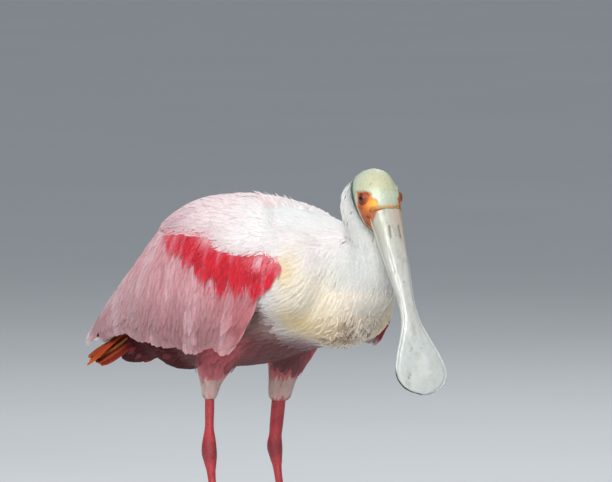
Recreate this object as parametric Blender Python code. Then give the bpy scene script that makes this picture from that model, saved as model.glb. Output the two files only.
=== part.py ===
"""Roseate spoonbill, a still life-size model in a wading pose, head low and bill pointing down.

Lengths below are in millimetres. A place on the bird is (forward, left, up): forward is the way
the body faces, left is the bird's own left, and up is the height above the floor. The bird faces -Y.
"""

import math

import bmesh
import bpy
from mathutils import Vector

MM = 0.001
GAP = 0.3  # clearance between pieces that meet
CLEAR = GAP * 0.5

# The origin is under the middle of the bird's bounding box, this far from the point between the hips.
ORIGIN_FORWARD = 27.58

# Trunk stations from rump to breast: forward, underside, back, half width.
TRUNK_STATIONS = [
    (-160, 219, 229, 5),
    (-146, 202, 246, 18),
    (-124, 198, 268, 31),
    (-100, 194.5, 291, 42),
    (-82, 188, 307, 49),
    (-60, 191, 321, 55),
    (-20, 194, 337, 61),
    (20, 199, 341, 63),
    (60, 211, 340, 62),
    (95, 218, 334, 57),
    (120, 219, 325, 48.5),
    (138, 228, 314, 36),
    (149, 242, 301, 21.5),
    (155, 253, 290, 10),
    (157, 262, 282, 4),
]
TRUNK_SIDES = 22
TRUNK_FULLNESS = 2.15  # 2 is an ellipse, more is squarer

# Neck stations from breast to nape: forward, left, up, radius, and the neck's rise there in degrees.
NECK_STATIONS = [
    (130, 0, 263, 24.5, 48),
    (142, 0, 271, 26.5, 57),
    (152.5, -1, 282, 24.6, 73),
    (158, -2, 296, 21.4, 91),
    (156, -2, 309, 19.6, 108),
    (150, -1, 323, 18.8, 116),
    (143, 0, 337, 17.8, 112),
    (138, 0, 349, 16.4, 100),
    (140, -1, 357, 14.8, 86),
    (143, -2, 363, 11.0, 70),
    (145, -2, 366, 5.0, 62),
]
NECK_SIDES = 16

# The head is turned to the bird's right and the bill hangs steeply down.
HEAD_TURN = math.radians(17)
BILL_PITCH = math.radians(67)
BILL_BASE = (194, -16.2, 348.6)  # where the culmen meets the forehead
BILL_LENGTH = 174
# Head stations from bill base to nape: forward and up from BILL_BASE, tilt of the
# section's crown side in degrees from straight up, half height, half width.
HEAD_STATIONS = [
    (-8.5, -12.3, 35, 14.8, 13.6),
    (-13.5, -6.5, 33, 19.0, 17.4),
    (-20.0, 0.6, 27, 23.2, 20.2),
    (-27.5, 6.8, 19, 24.6, 21.0),
    (-34.5, 11.4, 11, 22.7, 20.8),
    (-43.5, 12.6, 5, 18.7, 18.4),
    (-50.5, 13.4, 2, 12.3, 13.0),
    (-55.0, 14.4, 0, 5.0, 6.0),
]
HEAD_SIDES = 16
HEAD_FULLNESS = 2.05
EYE_RADIUS = 5.2
EYE_SIDES = 10
EYE_RINGS = 6
EYE_PLACE = (-19.5, 7.4, 16.2)  # forward and up from BILL_BASE, out from the middle

# Bill outline from base to tip: share of the length, half width, upper depth, lower depth.
BILL_STATIONS = [
    (-0.01, 15.6, 13.8, 11.0),
    (0.10, 13.4, 12.2, 10.0),
    (0.22, 11.9, 10.2, 8.4),
    (0.36, 9.8, 7.9, 6.2),
    (0.50, 8.1, 5.9, 4.5),
    (0.60, 9.4, 4.6, 3.2),
    (0.68, 13.8, 3.4, 2.7),
    (0.77, 20.3, 3.2, 2.5),
    (0.85, 25.0, 3.0, 2.4),
    (0.905, 25.4, 2.8, 2.2),
    (0.95, 21.5, 2.4, 2.0),
    (0.98, 14.5, 2.0, 1.7),
    (1.00, 4.5, 1.3, 1.1),
]
BILL_SIDES = 12
BILL_FULLNESS = 2.5
BILL_DROOP_FROM = 0.8  # share of the length where the seam starts to bend down
BILL_TIP_DROOP = 3.0
LOWER_BILL_INSET = 0.5  # how much less wide the lower half is on each side

# Folded wing: forward, ridge height, widest height, lower edge height, half width.
WING_STATIONS = [
    (106, 326, 285, 262, 71),
    (80, 337, 283, 244, 74),
    (50, 345.5, 279, 222, 75),
    (20, 349.5, 275, 214, 76),
    (-20, 350.5, 272, 213, 75),
    (-60, 341.5, 266, 216, 69),
    (-90, 316, 257, 219, 60),
    (-111, 297, 249, 221, 51),
    (-130, 281, 243, 221, 43),
    (-150, 262, 235, 218, 35),
    (-175, 236, 222, 211, 25),
    (-195, 216, 210, 205, 15),
    (-204, 210, 207, 204, 8),
]
WING_TIP = -204
# Front edge of the wing: share of the way from ridge to lower edge, forward.
WING_FRONT = {
    "right": [(0.0, 30), (0.2, 70), (0.4, 97), (0.55, 105), (0.7, 97), (0.85, 74), (1.0, 44)],
    "left": [(0.0, 30), (0.2, 70), (0.4, 97), (0.55, 107), (0.7, 107), (0.85, 105), (1.0, 102)],
}
# The left wing hangs lower at its front end: from this far forward, over this length, by this much.
DROOP_FROM = 45
DROOP_OVER = 60
WING_DROOP = {"right": 0, "left": 42}
WING_RIDGE_GAP = 0.4
WING_SIDE_SHARE = 0.55  # share of the way from ridge to lower edge at the widest height
WING_FULLNESS = 2.25
WING_TUCK = 0.07  # how far the lower edge leans in, as a share of the half width
WING_ACROSS = 10
WING_ALONG = 25
SECONDARIES = 12
SCALLOP = 3.2
SCALLOP_FROM = 0.9  # share of the way down where the lower edge's scallops start
SCALLOP_MIDDLE = 0.6
WING_THICK = 13.0
WING_EDGE_THICK = 2.2
WING_TAPER = (0.45, 0.8)  # share of the length where the wing starts to thin, and how it does so
WING_HANG = (0.82, 0.7)  # how much thinner the hanging part gets towards its edge, and how
WING_LEAD = (0.35, 8)  # thickness at the front edge as a share, and how fast it grows behind it
WING_STEP = 1.5  # reach in forward and in share, for finding the way out of the wing
WING_SHARE_STEP = 0.02

# Tail: a fan that slopes down behind the rump.
TAIL_ROOT = (-100, 0, 264)
TAIL_START = 42
TAIL_LENGTH = 106
TAIL_SLOPE = math.radians(37)
TAIL_SPREAD = math.radians(19)
TAIL_FEATHERS = 12
TAIL_CROWN = 19.0
TAIL_ROUND = 5.0  # how much shorter the outermost feathers are
TAIL_SCALLOP = 3.0
TAIL_THICK = 3.0
TAIL_TIP_THICK = 1.4
TAIL_REACH_UP = 60  # how much further than its gap the tail's cutter reaches above it
TAIL_ALONG = 4
TAIL_ACROSS = 24

# Coverts under the tail: forward, underside, upper side, half width.
UNDERTAIL_STATIONS = [
    (-116, 199, 226, 24),
    (-132, 194, 220, 27),
    (-148, 190.5, 213, 27.5),
    (-162, 188.5, 206, 26),
    (-173, 188, 199, 21),
    (-181, 188.5, 194, 13),
    (-184, 189.5, 192, 5),
]
UNDERTAIL_SIDES = 16
UNDERTAIL_FULLNESS = 2.3

# Legs, right then left: places down the leg as (forward, left, up).
LEGS = {
    "right": {
        "thigh": [(10, -34, 242, 27), (0, -34, 218, 24), (-11, -33, 197, 18.5), (-17, -31.5, 185, 12.2),
                  (-20, -30.5, 175, 7.4), (-21, -30, 167.5, 5.6)],
        "ankle": (-22, -30, 120),
        "foot": (-3, -32, 0),
        "shin": 4.6,
    },
    "left": {
        "thigh": [(32, 34, 242, 27), (24, 33, 218, 24), (17.5, 30, 199, 19), (13.5, 28.5, 185, 14),
                  (11.5, 27.5, 174, 10.6), (10.5, 27, 165.5, 8.4)],
        "ankle": (4, 27, 123),
        "foot": (24, 30, 0),
        "shin": 6.8,
    },
}
THIGH_SIDES = 14
THIGH_NARROW = 0.88  # width across as a share of that from front to back
SHANK_SIDES = 10
SHANK_NARROW = 0.86
ANKLE_RADIUS = 7.4
TARSUS_RADIUS = 3.9
TARSUS_FOOT_RADIUS = 5.2
TARSUS_END = 11  # height of the tarsus's lower end
# Down the shin by share of the way to the ankle: radius as a share of the shin's, then of the ankle's.
SHIN_SHAPE = [(0.0, 1.0), (0.3, 1.0), (0.6, 0.96)]
ANKLE_SHAPE = [(0.8, 0.84), (0.93, 0.97)]
# Down the tarsus, by share of the way from ankle to foot: radius.
TARSUS_SHAPE = [
    (0.03, ANKLE_RADIUS),
    (0.10, ANKLE_RADIUS * 0.8),
    (0.22, TARSUS_RADIUS),
    (0.60, TARSUS_RADIUS),
    (0.85, TARSUS_RADIUS * 1.05),
    (1.00, TARSUS_FOOT_RADIUS),
]

# Toes: name, degrees outwards from straight ahead, length, radius at the root.
TOES = [("inner", -30, 60, 4.3), ("middle", 2, 78, 4.6), ("outer", 33, 66, 4.4), ("hind", 172, 30, 3.9)]
TOE_SIDES = 8
TOE_STEPS = 6
TOE_TIP_SHARE = 0.62
TOE_JOINTS = 3
TOE_SWELL = 0.10
TOE_SINK = 0.84  # height of a toe's middle as a share of its radius, so that its sole is flat
TOE_ARCH = 1.2
CLAW_SIDES = 6
CLAW_STEPS = 3
CLAW_LENGTH = 10.0
CLAW_RADIUS = 2.0
CLAW_TAPER = 0.8
CLAW_ARCH = 1.4
CLAW_LIFT = 0.05
WEB_REACH = 24
WEB_NOTCH = 0.72  # reach in the middle between two toes, as a share
WEB_LOW = 1.0
WEB_THICK = 2.4
PAD_SIDES = 16
PAD_RADIUS = 8.5
PAD_HEIGHT = 10.5
PAD_SHAPE = [(0.0, 1.0), (0.45, 1.0), (0.8, 0.86), (1.0, 0.7)]  # share of the height, of the radius

COLOURS = {
    "plumage_white": (0.86, 0.80, 0.77),
    "plumage_pink": (0.85, 0.52, 0.55),
    "thigh_pink": (0.80, 0.45, 0.46),
    "tail_orange": (0.78, 0.33, 0.08),
    "undertail_red": (0.42, 0.06, 0.08),
    "bare_head": (0.70, 0.72, 0.45),
    "bill_grey": (0.62, 0.62, 0.56),
    "leg_red": (0.68, 0.12, 0.13),
    "claw_dark": (0.08, 0.06, 0.06),
    "eye_red": (0.45, 0.03, 0.03),
}


def at(forward, left, up):
    """A place on the bird, in metres, in the model's frame."""
    return Vector((left, ORIGIN_FORWARD - forward, up)) * MM


def way(forward, left, up):
    """A direction on the bird, of length one."""
    return Vector((left, -forward, up)).normalized()


HEAD_FORWARD = way(math.cos(HEAD_TURN), -math.sin(HEAD_TURN), 0)
HEAD_LEFT = way(math.sin(HEAD_TURN), math.cos(HEAD_TURN), 0)
UP = Vector((0, 0, 1))
BILL_ALONG = HEAD_FORWARD * math.cos(BILL_PITCH) - UP * math.sin(BILL_PITCH)
BILL_CROWN = HEAD_FORWARD * math.sin(BILL_PITCH) + UP * math.cos(BILL_PITCH)


def read(keys, x):
    """The values at x of a smooth curve through keys, whose first numbers rise or fall steadily."""
    if keys[0][0] > keys[-1][0]:
        keys = keys[::-1]
    x = min(max(x, keys[0][0]), keys[-1][0])
    i = max(k for k in range(len(keys) - 1) if keys[k][0] <= x or k == 0)
    span = keys[i + 1][0] - keys[i][0]
    t = (x - keys[i][0]) / span

    def slope(k, column):
        a, b = keys[max(k - 1, 0)], keys[min(k + 1, len(keys) - 1)]
        return (b[column] - a[column]) / (b[0] - a[0]) * span

    found = []
    for c in range(1, len(keys[0])):
        p, q, m, n = keys[i][c], keys[i + 1][c], slope(i, c), slope(i + 1, c)
        found.append(
            (2 * t**3 - 3 * t**2 + 1) * p + (t**3 - 2 * t**2 + t) * m
            + (3 * t**2 - 2 * t**3) * q + (t**3 - t**2) * n
        )
    return found if len(found) > 1 else found[0]


def numbered(stations):
    """Stations with their own number put first, so that read() can go from one to the next."""
    return [(i, *s) for i, s in enumerate(stations)]


def power(x, exponent):
    return math.copysign(abs(x) ** exponent, x)


def section(centre, side, crown, half_width, top, bottom, sides, fullness=2.0):
    """A ring of points: a superellipse, as tall as top above its centre and bottom below it."""
    ring = []
    for k in range(sides):
        angle = 2 * math.pi * k / sides
        across = half_width * power(math.cos(angle), 2 / fullness)
        height = power(math.sin(angle), 2 / fullness)
        height *= top if height > 0 else bottom
        ring.append(centre + side * across * MM + crown * height * MM)
    return ring


def collection(name):
    found = bpy.data.collections.get(name)
    if found is None:
        found = bpy.data.collections.new(name)
        bpy.context.scene.collection.children.link(found)
    return found


def solid(name, mesh_maker, where="spoonbill"):
    """An object whose mesh mesh_maker fills in."""
    form = bmesh.new()
    mesh_maker(form)
    bmesh.ops.recalc_face_normals(form, faces=form.faces[:])
    mesh = bpy.data.meshes.new(name)
    form.to_mesh(mesh)
    form.free()
    obj = bpy.data.objects.new(name, mesh)
    collection(where).objects.link(obj)
    if where == "cutters":
        obj.hide_render = True
        obj.display_type = "WIRE"
    return obj


def loft(name, rings, where="spoonbill"):
    """A closed form through rings of equally many points, its ends closed by fans."""

    def make(form):
        rows = [[form.verts.new(p) for p in ring] for ring in rings]
        for a, b in zip(rows, rows[1:]):
            for k in range(len(a)):
                n = (k + 1) % len(a)
                form.faces.new((a[k], a[n], b[n], b[k]))
        for row in (rows[0], rows[-1]):
            middle = form.verts.new(sum((v.co for v in row), Vector()) / len(row))
            for k in range(len(row)):
                form.faces.new((row[k], row[(k + 1) % len(row)], middle))

    return solid(name, make, where)


def slab(name, outer, inner, where="spoonbill"):
    """A closed sheet between two equal grids of points."""

    def make(form):
        tops = [[form.verts.new(p) for p in row] for row in outer]
        unders = [[form.verts.new(p) for p in row] for row in inner]
        for grid in (tops, unders):
            for a, b in zip(grid, grid[1:]):
                for k in range(len(a) - 1):
                    form.faces.new((a[k], a[k + 1], b[k + 1], b[k]))
        rim_top = rim(tops)
        rim_under = rim(unders)
        for k in range(len(rim_top)):
            n = (k + 1) % len(rim_top)
            form.faces.new((rim_top[k], rim_top[n], rim_under[n], rim_under[k]))

    return solid(name, make, where)


def rim(grid):
    """The points round the edge of a grid, in order."""
    last = len(grid) - 1
    around = list(grid[0])
    around += [grid[i][-1] for i in range(1, last)]
    around += list(reversed(grid[last]))
    around += [grid[i][0] for i in range(last - 1, 0, -1)]
    return around


def cut(obj, *cutters):
    """Takes the cutters away from obj."""
    for cutter in cutters:
        modifier = obj.modifiers.new("cut", "BOOLEAN")
        modifier.operation = "DIFFERENCE"
        modifier.object = cutter
        modifier.solver = "EXACT"


def unite(obj, *others):
    """Joins the others to obj as one body."""
    for other in others:
        modifier = obj.modifiers.new("join", "BOOLEAN")
        modifier.operation = "UNION"
        modifier.object = other
        modifier.solver = "EXACT"


def material(name, roughness=0.7):
    found = bpy.data.materials.get(name)
    if found is None:
        found = bpy.data.materials.new(name)
        found.use_nodes = True
        shader = found.node_tree.nodes["Principled BSDF"]
        shader.inputs["Base Color"].default_value = (*COLOURS[name], 1)
        shader.inputs["Roughness"].default_value = roughness
        shader.inputs["Metallic"].default_value = 0
    return found


def finish(obj, colour, roughness=0.7, smooth=True):
    obj.data.materials.append(material(colour, roughness))
    if smooth:
        obj.data.shade_smooth()
    return obj


def trunk(name, grow=0.0, where="spoonbill"):
    rings = []
    for station in range(2 * len(TRUNK_STATIONS) - 1):
        forward, low, high, wide = read(numbered(TRUNK_STATIONS), station / 2)
        end = 0 if 0 < station < 2 * len(TRUNK_STATIONS) - 2 else grow
        forward += math.copysign(end, forward)
        middle = (low + high) / 2
        half = (high - low) / 2 + grow
        rings.append(
            section(at(forward, 0, middle), way(0, 1, 0), UP, wide + grow, half, half, TRUNK_SIDES,
                    TRUNK_FULLNESS)
        )
    return loft(name, rings, where)


def neck(name):
    stations = numbered(NECK_STATIONS)
    rings = []
    for station in range(len(NECK_STATIONS)):
        forward, left, up, radius, rise = read(stations, station)
        lean = math.radians(rise)
        crown = way(-math.sin(lean), 0, math.cos(lean))
        rings.append(
            section(at(forward, left, up), way(0, 1, 0), crown, radius, radius, radius, NECK_SIDES)
        )
    return loft(name, rings)


def undertail(name):
    rings = []
    for step in range(2 * len(UNDERTAIL_STATIONS) - 1):
        forward, low, high, wide = read(numbered(UNDERTAIL_STATIONS), step / 2)
        half = (high - low) / 2
        rings.append(
            section(at(forward, 0, low + half), way(0, 1, 0), UP, wide, half, half, UNDERTAIL_SIDES,
                    UNDERTAIL_FULLNESS)
        )
    return loft(name, rings)


def head_point(forward, up, left=0.0):
    """A place given from the culmen's base, along the head's own level."""
    return at(*BILL_BASE) + (HEAD_FORWARD * forward + UP * up + HEAD_LEFT * left) * MM


def head(name, grow=0.0, where="spoonbill"):
    rings = []
    for step in range(2 * len(HEAD_STATIONS) - 1):
        forward, up, tilt, tall, wide = read(numbered(HEAD_STATIONS), step / 2)
        lean = math.radians(tilt)
        crown = HEAD_FORWARD * math.sin(lean) + UP * math.cos(lean)
        rings.append(
            section(head_point(forward, up), HEAD_LEFT, crown, wide + grow, tall + grow, tall + grow,
                    HEAD_SIDES, HEAD_FULLNESS)
        )
    return loft(name, rings, where)


def eye(name, side, grow=0.0, where="spoonbill"):
    forward, up, out = EYE_PLACE
    radius = (EYE_RADIUS + grow) * MM

    def make(form):
        bmesh.ops.create_uvsphere(form, u_segments=EYE_SIDES, v_segments=EYE_RINGS, radius=radius)

    obj = solid(name, make, where)
    obj.location = head_point(forward, up, out * side)
    return obj


def mandible(name, upper):
    """Half of the bill: an arched strip that widens to the spoon."""
    rings = []
    steps = 2 * (len(BILL_STATIONS) - 1)
    for step in range(steps + 1):
        share, wide, above, below = read(numbered(BILL_STATIONS), step / 2)
        bend = max(0.0, (share - BILL_DROOP_FROM) / (1 - BILL_DROOP_FROM))
        seam = -above - BILL_TIP_DROOP * bend**2
        start = at(*BILL_BASE) + BILL_ALONG * (BILL_LENGTH * share + GAP) * MM
        centre = start + BILL_CROWN * (seam + (CLEAR if upper else -CLEAR)) * MM
        top, bottom = (above - CLEAR, 0.0) if upper else (0.0, below)
        half_width = wide if upper else wide - LOWER_BILL_INSET
        rings.append(
            section(centre, HEAD_LEFT, BILL_CROWN, half_width, top, bottom, BILL_SIDES, BILL_FULLNESS)
        )
    return loft(name, rings)


def wing_point(label, side, forward, share):
    """A place on the folded wing's outer surface, share of the way from ridge to lower edge."""
    reach = min(max((forward - DROOP_FROM) / DROOP_OVER, 0), 1)
    droop = WING_DROOP[label] * reach**2 * (3 - 2 * reach)
    ridge, widest, lower, half = read(WING_STATIONS, forward)
    if share < WING_SIDE_SHARE:
        turn = share / WING_SIDE_SHARE * math.pi / 2
        out = WING_RIDGE_GAP + (half - WING_RIDGE_GAP) * power(math.sin(turn), 2 / WING_FULLNESS)
        up = widest + (ridge - widest) * power(math.cos(turn), 2 / WING_FULLNESS)
    else:
        down = (share - WING_SIDE_SHARE) / (1 - WING_SIDE_SHARE)
        out = half * (1 - WING_TUCK * down**2)
        up = widest - (widest - lower) * down
    return at(forward, side * out, up - droop * share)


def wing_inward(label, side, forward, share):
    """The way from the wing's outer surface into the wing."""
    ahead = wing_point(label, side, forward - WING_STEP, share)
    ahead -= wing_point(label, side, forward + WING_STEP, share)
    down = wing_point(label, side, forward, min(share + WING_SHARE_STEP, 1))
    down -= wing_point(label, side, forward, max(share - WING_SHARE_STEP, 0))
    return (ahead.cross(down) * side).normalized()


def wing_thickness(along, share):
    """Thickest behind the shoulder, thin towards the tip and the hanging lower edge."""
    taper_from, taper_power = WING_TAPER
    taper = 1 - max(0.0, (along - taper_from) / (1 - taper_from)) ** taper_power
    hang_depth, hang_power = WING_HANG
    hang = 1 - hang_depth * max(0.0, (share - WING_SIDE_SHARE) / (1 - WING_SIDE_SHARE)) ** hang_power
    lead_start, lead_growth = WING_LEAD
    lead = min(1.0, lead_start + along * lead_growth)
    return WING_EDGE_THICK + (WING_THICK - WING_EDGE_THICK) * taper * hang * lead


def wing(label, side):
    """The folded wing as a shell over the flank, its hind and lower edges scalloped by feather tips."""
    outer = []
    inner = []
    for i in range(WING_ALONG):
        row_out, row_in = [], []
        along = i / (WING_ALONG - 1)
        tips = abs(math.sin(math.pi * along * SECONDARIES))
        for k in range(WING_ACROSS):
            share = k / (WING_ACROSS - 1)
            front = read(WING_FRONT[label], share)
            forward = front + (WING_TIP - front) * along
            edge = max(0.0, (share - SCALLOP_FROM) / (1 - SCALLOP_FROM))
            place = wing_point(label, side, forward, share)
            place.z += SCALLOP * MM * edge * (SCALLOP_MIDDLE - tips)
            inward = wing_inward(label, side, forward, share)
            row_out.append(place)
            row_in.append(place + inward * wing_thickness(along, share) * MM)
        outer.append(row_out)
        inner.append(row_in)
    return slab(f"wing_{label}", outer, inner)


def tail(name, grow=0.0, where="spoonbill"):
    """A fan of twelve feathers as one thin sheet, arched across and scalloped at its end."""
    top, under = [], []
    for i in range(TAIL_ALONG + 1):
        along = i / TAIL_ALONG
        row_top, row_under = [], []
        for k in range(TAIL_ACROSS + 1):
            across = 2 * k / TAIL_ACROSS - 1
            tip = abs(math.sin(math.pi * TAIL_FEATHERS * k / TAIL_ACROSS))
            reach = TAIL_LENGTH - TAIL_ROUND * across**2 + TAIL_SCALLOP * (tip - 1)
            out = TAIL_START + (reach - TAIL_START) * along
            turn = across * TAIL_SPREAD
            flat = out * math.cos(turn)
            arch = -TAIL_CROWN * across**2 * along
            forward = TAIL_ROOT[0] - flat * math.cos(TAIL_SLOPE)
            left = out * math.sin(turn)
            up = TAIL_ROOT[2] - flat * math.sin(TAIL_SLOPE) + arch
            place = at(forward, left, up)
            normal = way(-math.sin(TAIL_SLOPE), 0, math.cos(TAIL_SLOPE))
            thick = TAIL_THICK + (TAIL_TIP_THICK - TAIL_THICK) * along
            row_top.append(place + normal * TAIL_REACH_UP * grow * MM)
            row_under.append(place - normal * (thick + grow) * MM)
        top.append(row_top)
        under.append(row_under)
    return slab(name, top, under, where)


def thigh(name, leg):
    stations = numbered(leg["thigh"])
    rings = []
    steps = 2 * (len(leg["thigh"]) - 1)
    for step in range(steps + 1):
        forward, left, up, radius = read(stations, step / 2)
        rings.append(
            section(at(forward, left, up), way(0, 1, 0), way(1, 0, 0), radius * THIGH_NARROW,
                    radius, radius, THIGH_SIDES)
        )
    return loft(name, rings)


def between(start, end, share):
    return [a + (b - a) * share for a, b in zip(start, end)]


def shank_rings(leg, grow=0.0):
    """Rings down the bare leg, from inside the thigh's feathers to the foot."""
    forward, left, up, _ = leg["thigh"][-1]
    knee = (forward, left, up - GAP)
    ankle = leg["ankle"]
    low = between(leg["foot"], ankle, TARSUS_END / ankle[2])
    line = [(between(knee, ankle, share), leg["shin"] * swell) for share, swell in SHIN_SHAPE]
    line += [(between(knee, ankle, share), ANKLE_RADIUS * swell) for share, swell in ANKLE_SHAPE]
    line += [(between(ankle, low, share), radius) for share, radius in TARSUS_SHAPE]
    rings = []
    for place, radius in line:
        rings.append(
            section(at(*place), way(0, 1, 0), way(1, 0, 0), radius * SHANK_NARROW + grow,
                    radius + grow, radius + grow, SHANK_SIDES)
        )
    return rings


def toe_path(leg, side, degrees):
    """The floor line of a toe: its root under the tarsus and its direction."""
    turn = math.radians(degrees) * side
    return leg["foot"][0], leg["foot"][1], math.cos(turn), math.sin(turn)


def toe(name, leg, side, degrees, length, radius):
    """A toe with low joints, flat where it stands on the floor."""
    forward, left, ahead, out = toe_path(leg, side, degrees)
    rings = []
    for i in range(TOE_STEPS + 1):
        share = i / TOE_STEPS
        swell = 1 + TOE_SWELL * math.cos(2 * math.pi * TOE_JOINTS * share)
        thick = radius * (1 + (TOE_TIP_SHARE - 1) * share) * swell
        reach = length * share
        height = thick * TOE_SINK + TOE_ARCH * (1 - share) ** 3
        ring = section(
            at(forward + ahead * reach, left + out * reach, height),
            way(-out, ahead, 0), UP, thick, thick, thick, TOE_SIDES,
        )
        for p in ring:
            p.z = max(p.z, 0.0)
        rings.append(ring)
    return loft(name, rings, "cutters")


def claw(name, leg, side, degrees, length):
    forward, left, ahead, out = toe_path(leg, side, degrees)
    rings = []
    for i in range(CLAW_STEPS + 1):
        share = i / CLAW_STEPS
        thick = CLAW_RADIUS * (1 - CLAW_TAPER * share)
        reach = length + GAP + CLAW_LENGTH * share
        height = thick + CLAW_ARCH * (1 - share) ** 1.5 + CLAW_LIFT
        rings.append(
            section(at(forward + ahead * reach, left + out * reach, height),
                    way(-out, ahead, 0), UP, thick, thick, thick, CLAW_SIDES)
        )
    return loft(name, rings)


def web(name, leg, side, first, second):
    """The small web between two front toes."""
    corners = [leg["foot"][:2]]
    for degrees, reach in (
        (first, WEB_REACH),
        ((first + second) / 2, WEB_REACH * WEB_NOTCH),
        (second, WEB_REACH),
    ):
        forward, left, ahead, out = toe_path(leg, side, degrees)
        corners.append((forward + reach * ahead, left + reach * out))

    def make(form):
        rows = []
        for height in (WEB_LOW, WEB_LOW + WEB_THICK):
            rows.append([form.verts.new(at(f, l, height)) for f, l in corners])
        form.faces.new(rows[0])
        form.faces.new(rows[1])
        for k in range(len(corners)):
            n = (k + 1) % len(corners)
            form.faces.new((rows[0][k], rows[0][n], rows[1][n], rows[1][k]))

    return solid(name, make, "cutters")


def foot(label, side, leg):
    """Toes, pad and webs as one body, standing on flats at floor level."""
    forward, left, _ = leg["foot"]
    rings = []
    for share, swell in PAD_SHAPE:
        radius = PAD_RADIUS * swell
        rings.append(
            section(at(forward, left, PAD_HEIGHT * share), way(0, 1, 0), way(1, 0, 0),
                    radius, radius, radius, PAD_SIDES)
        )
    pad = loft(f"foot_{label}", rings)
    pieces = []
    for toe_name, degrees, length, radius in TOES:
        pieces.append(toe(f"toe_{toe_name}_{label}", leg, side, degrees, length, radius))
    fronts = [t[1] for t in TOES[:3]]
    for first, second in zip(fronts, fronts[1:]):
        pieces.append(web(f"web_{first}_{label}", leg, side, first, second))
    unite(pad, *pieces)
    shank_room = loft(f"shank_room_{label}", shank_rings(leg, GAP), "cutters")
    cut(pad, shank_room)
    return finish(pad, "leg_red", 0.5, smooth=False)


def build_leg(label, side, leg, trunk_room):
    shank = loft(f"shank_{label}", shank_rings(leg))
    finish(shank, "leg_red", 0.5)
    upper = thigh(f"thigh_{label}", leg)
    cut(upper, trunk_room)
    finish(upper, "thigh_pink", 0.8)
    foot(label, side, leg)
    for toe_name, degrees, length, _ in TOES:
        finish(claw(f"claw_{toe_name}_{label}", leg, side, degrees, length), "claw_dark", 0.4)


def clear_scene():
    for obj in list(bpy.data.objects):
        bpy.data.objects.remove(obj, do_unlink=True)


def main():
    clear_scene()
    finish(trunk("trunk"), "plumage_white")
    trunk_room = trunk("trunk_room", GAP, "cutters")
    head_room = head("head_room", GAP, "cutters")
    throat = neck("neck")
    cut(throat, trunk_room, head_room)
    finish(throat, "plumage_white")
    skull = head("head")
    for label, side in (("right", -1), ("left", 1)):
        finish(eye(f"eye_{label}", side), "eye_red", 0.1)
        cut(skull, eye(f"eye_room_{label}", side, GAP, "cutters"))
        folded = wing(label, side)
        cut(folded, trunk_room)
        finish(folded, "plumage_pink")
        build_leg(label, side, LEGS[label], trunk_room)
    finish(skull, "bare_head", 0.5)
    for name, upper in (("bill_upper", True), ("bill_lower", False)):
        half = mandible(name, upper)
        cut(half, head_room)
        finish(half, "bill_grey", 0.35)
    rectrices = tail("tail")
    cut(rectrices, trunk_room)
    finish(rectrices, "tail_orange")
    vent = undertail("undertail")
    cut(vent, trunk_room, tail("tail_room", GAP, "cutters"))
    finish(vent, "undertail_red")


main()
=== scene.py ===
"""Looks of the roseate spoonbill model: skin, bill, eyes, claws and a coat of mesh feathers.

Lengths are in millimetres and places are (forward, left, up) on the bird, as in the CAD: forward is
the way the body faces, left is its own left, and up is the height above the floor.
Colours are display values from 0 to 255.
"""

import math
from collections import namedtuple

import bpy
import numpy as np
from mathutils import Matrix, Vector
from mathutils.bvhtree import BVHTree

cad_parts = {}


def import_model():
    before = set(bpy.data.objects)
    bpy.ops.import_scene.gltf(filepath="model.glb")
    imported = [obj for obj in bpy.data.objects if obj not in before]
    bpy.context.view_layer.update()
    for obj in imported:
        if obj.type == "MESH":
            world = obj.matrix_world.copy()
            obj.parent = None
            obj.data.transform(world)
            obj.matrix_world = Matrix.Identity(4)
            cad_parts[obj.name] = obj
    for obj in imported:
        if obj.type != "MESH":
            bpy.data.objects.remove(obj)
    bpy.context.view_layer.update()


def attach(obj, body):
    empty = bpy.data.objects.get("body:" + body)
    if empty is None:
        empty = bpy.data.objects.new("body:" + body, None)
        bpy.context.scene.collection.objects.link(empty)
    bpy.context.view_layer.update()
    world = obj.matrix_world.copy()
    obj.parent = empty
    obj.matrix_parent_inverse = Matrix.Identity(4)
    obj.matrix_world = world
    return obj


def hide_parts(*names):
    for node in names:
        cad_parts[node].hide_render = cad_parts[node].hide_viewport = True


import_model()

MM = 0.001
ORIGIN_FORWARD = 27.58
RIGHT = -1
LEFT = 1
SIDES = (("right", RIGHT), ("left", LEFT))

# Camera: a long lens far off, level with the bird, a little above it.
VIEW_TURN = math.radians(-45)
VIEW_RISE = math.radians(4)
VIEW_DISTANCE = 14.0
METRES_PER_PIXEL = 0.0009
FRAME_WIDE = 612
FRAME_MIDDLE = (306, 241)
HIPS_PIXEL = (250, 583)
SENSOR_WIDE = 36.0

# Trunk from rump to breast: forward, underside, back, half width.
TRUNK_STATIONS = [
    (-160, 219, 229, 5), (-146, 202, 246, 18), (-124, 198, 268, 31), (-100, 194.5, 291, 42),
    (-82, 188, 307, 49), (-60, 191, 321, 55), (-20, 194, 337, 61), (20, 199, 341, 63),
    (60, 211, 340, 62), (95, 218, 334, 57), (120, 219, 325, 48.5), (138, 228, 314, 36),
    (149, 242, 301, 21.5), (155, 253, 290, 10), (157, 262, 282, 4),
]
TRUNK_FULLNESS = 2.15

# Neck from breast to nape: forward, left, up, radius, rise in degrees.
NECK_STATIONS = [
    (130, 0, 263, 24.5, 48), (142, 0, 271, 26.5, 57), (152.5, -1, 282, 24.6, 73),
    (158, -2, 296, 21.4, 91), (156, -2, 309, 19.6, 108), (150, -1, 323, 18.8, 116),
    (143, 0, 337, 17.8, 112), (138, 0, 349, 16.4, 100), (140, -1, 357, 14.8, 86),
    (143, -2, 363, 11.0, 70), (145, -2, 366, 5.0, 62),
]

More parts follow.
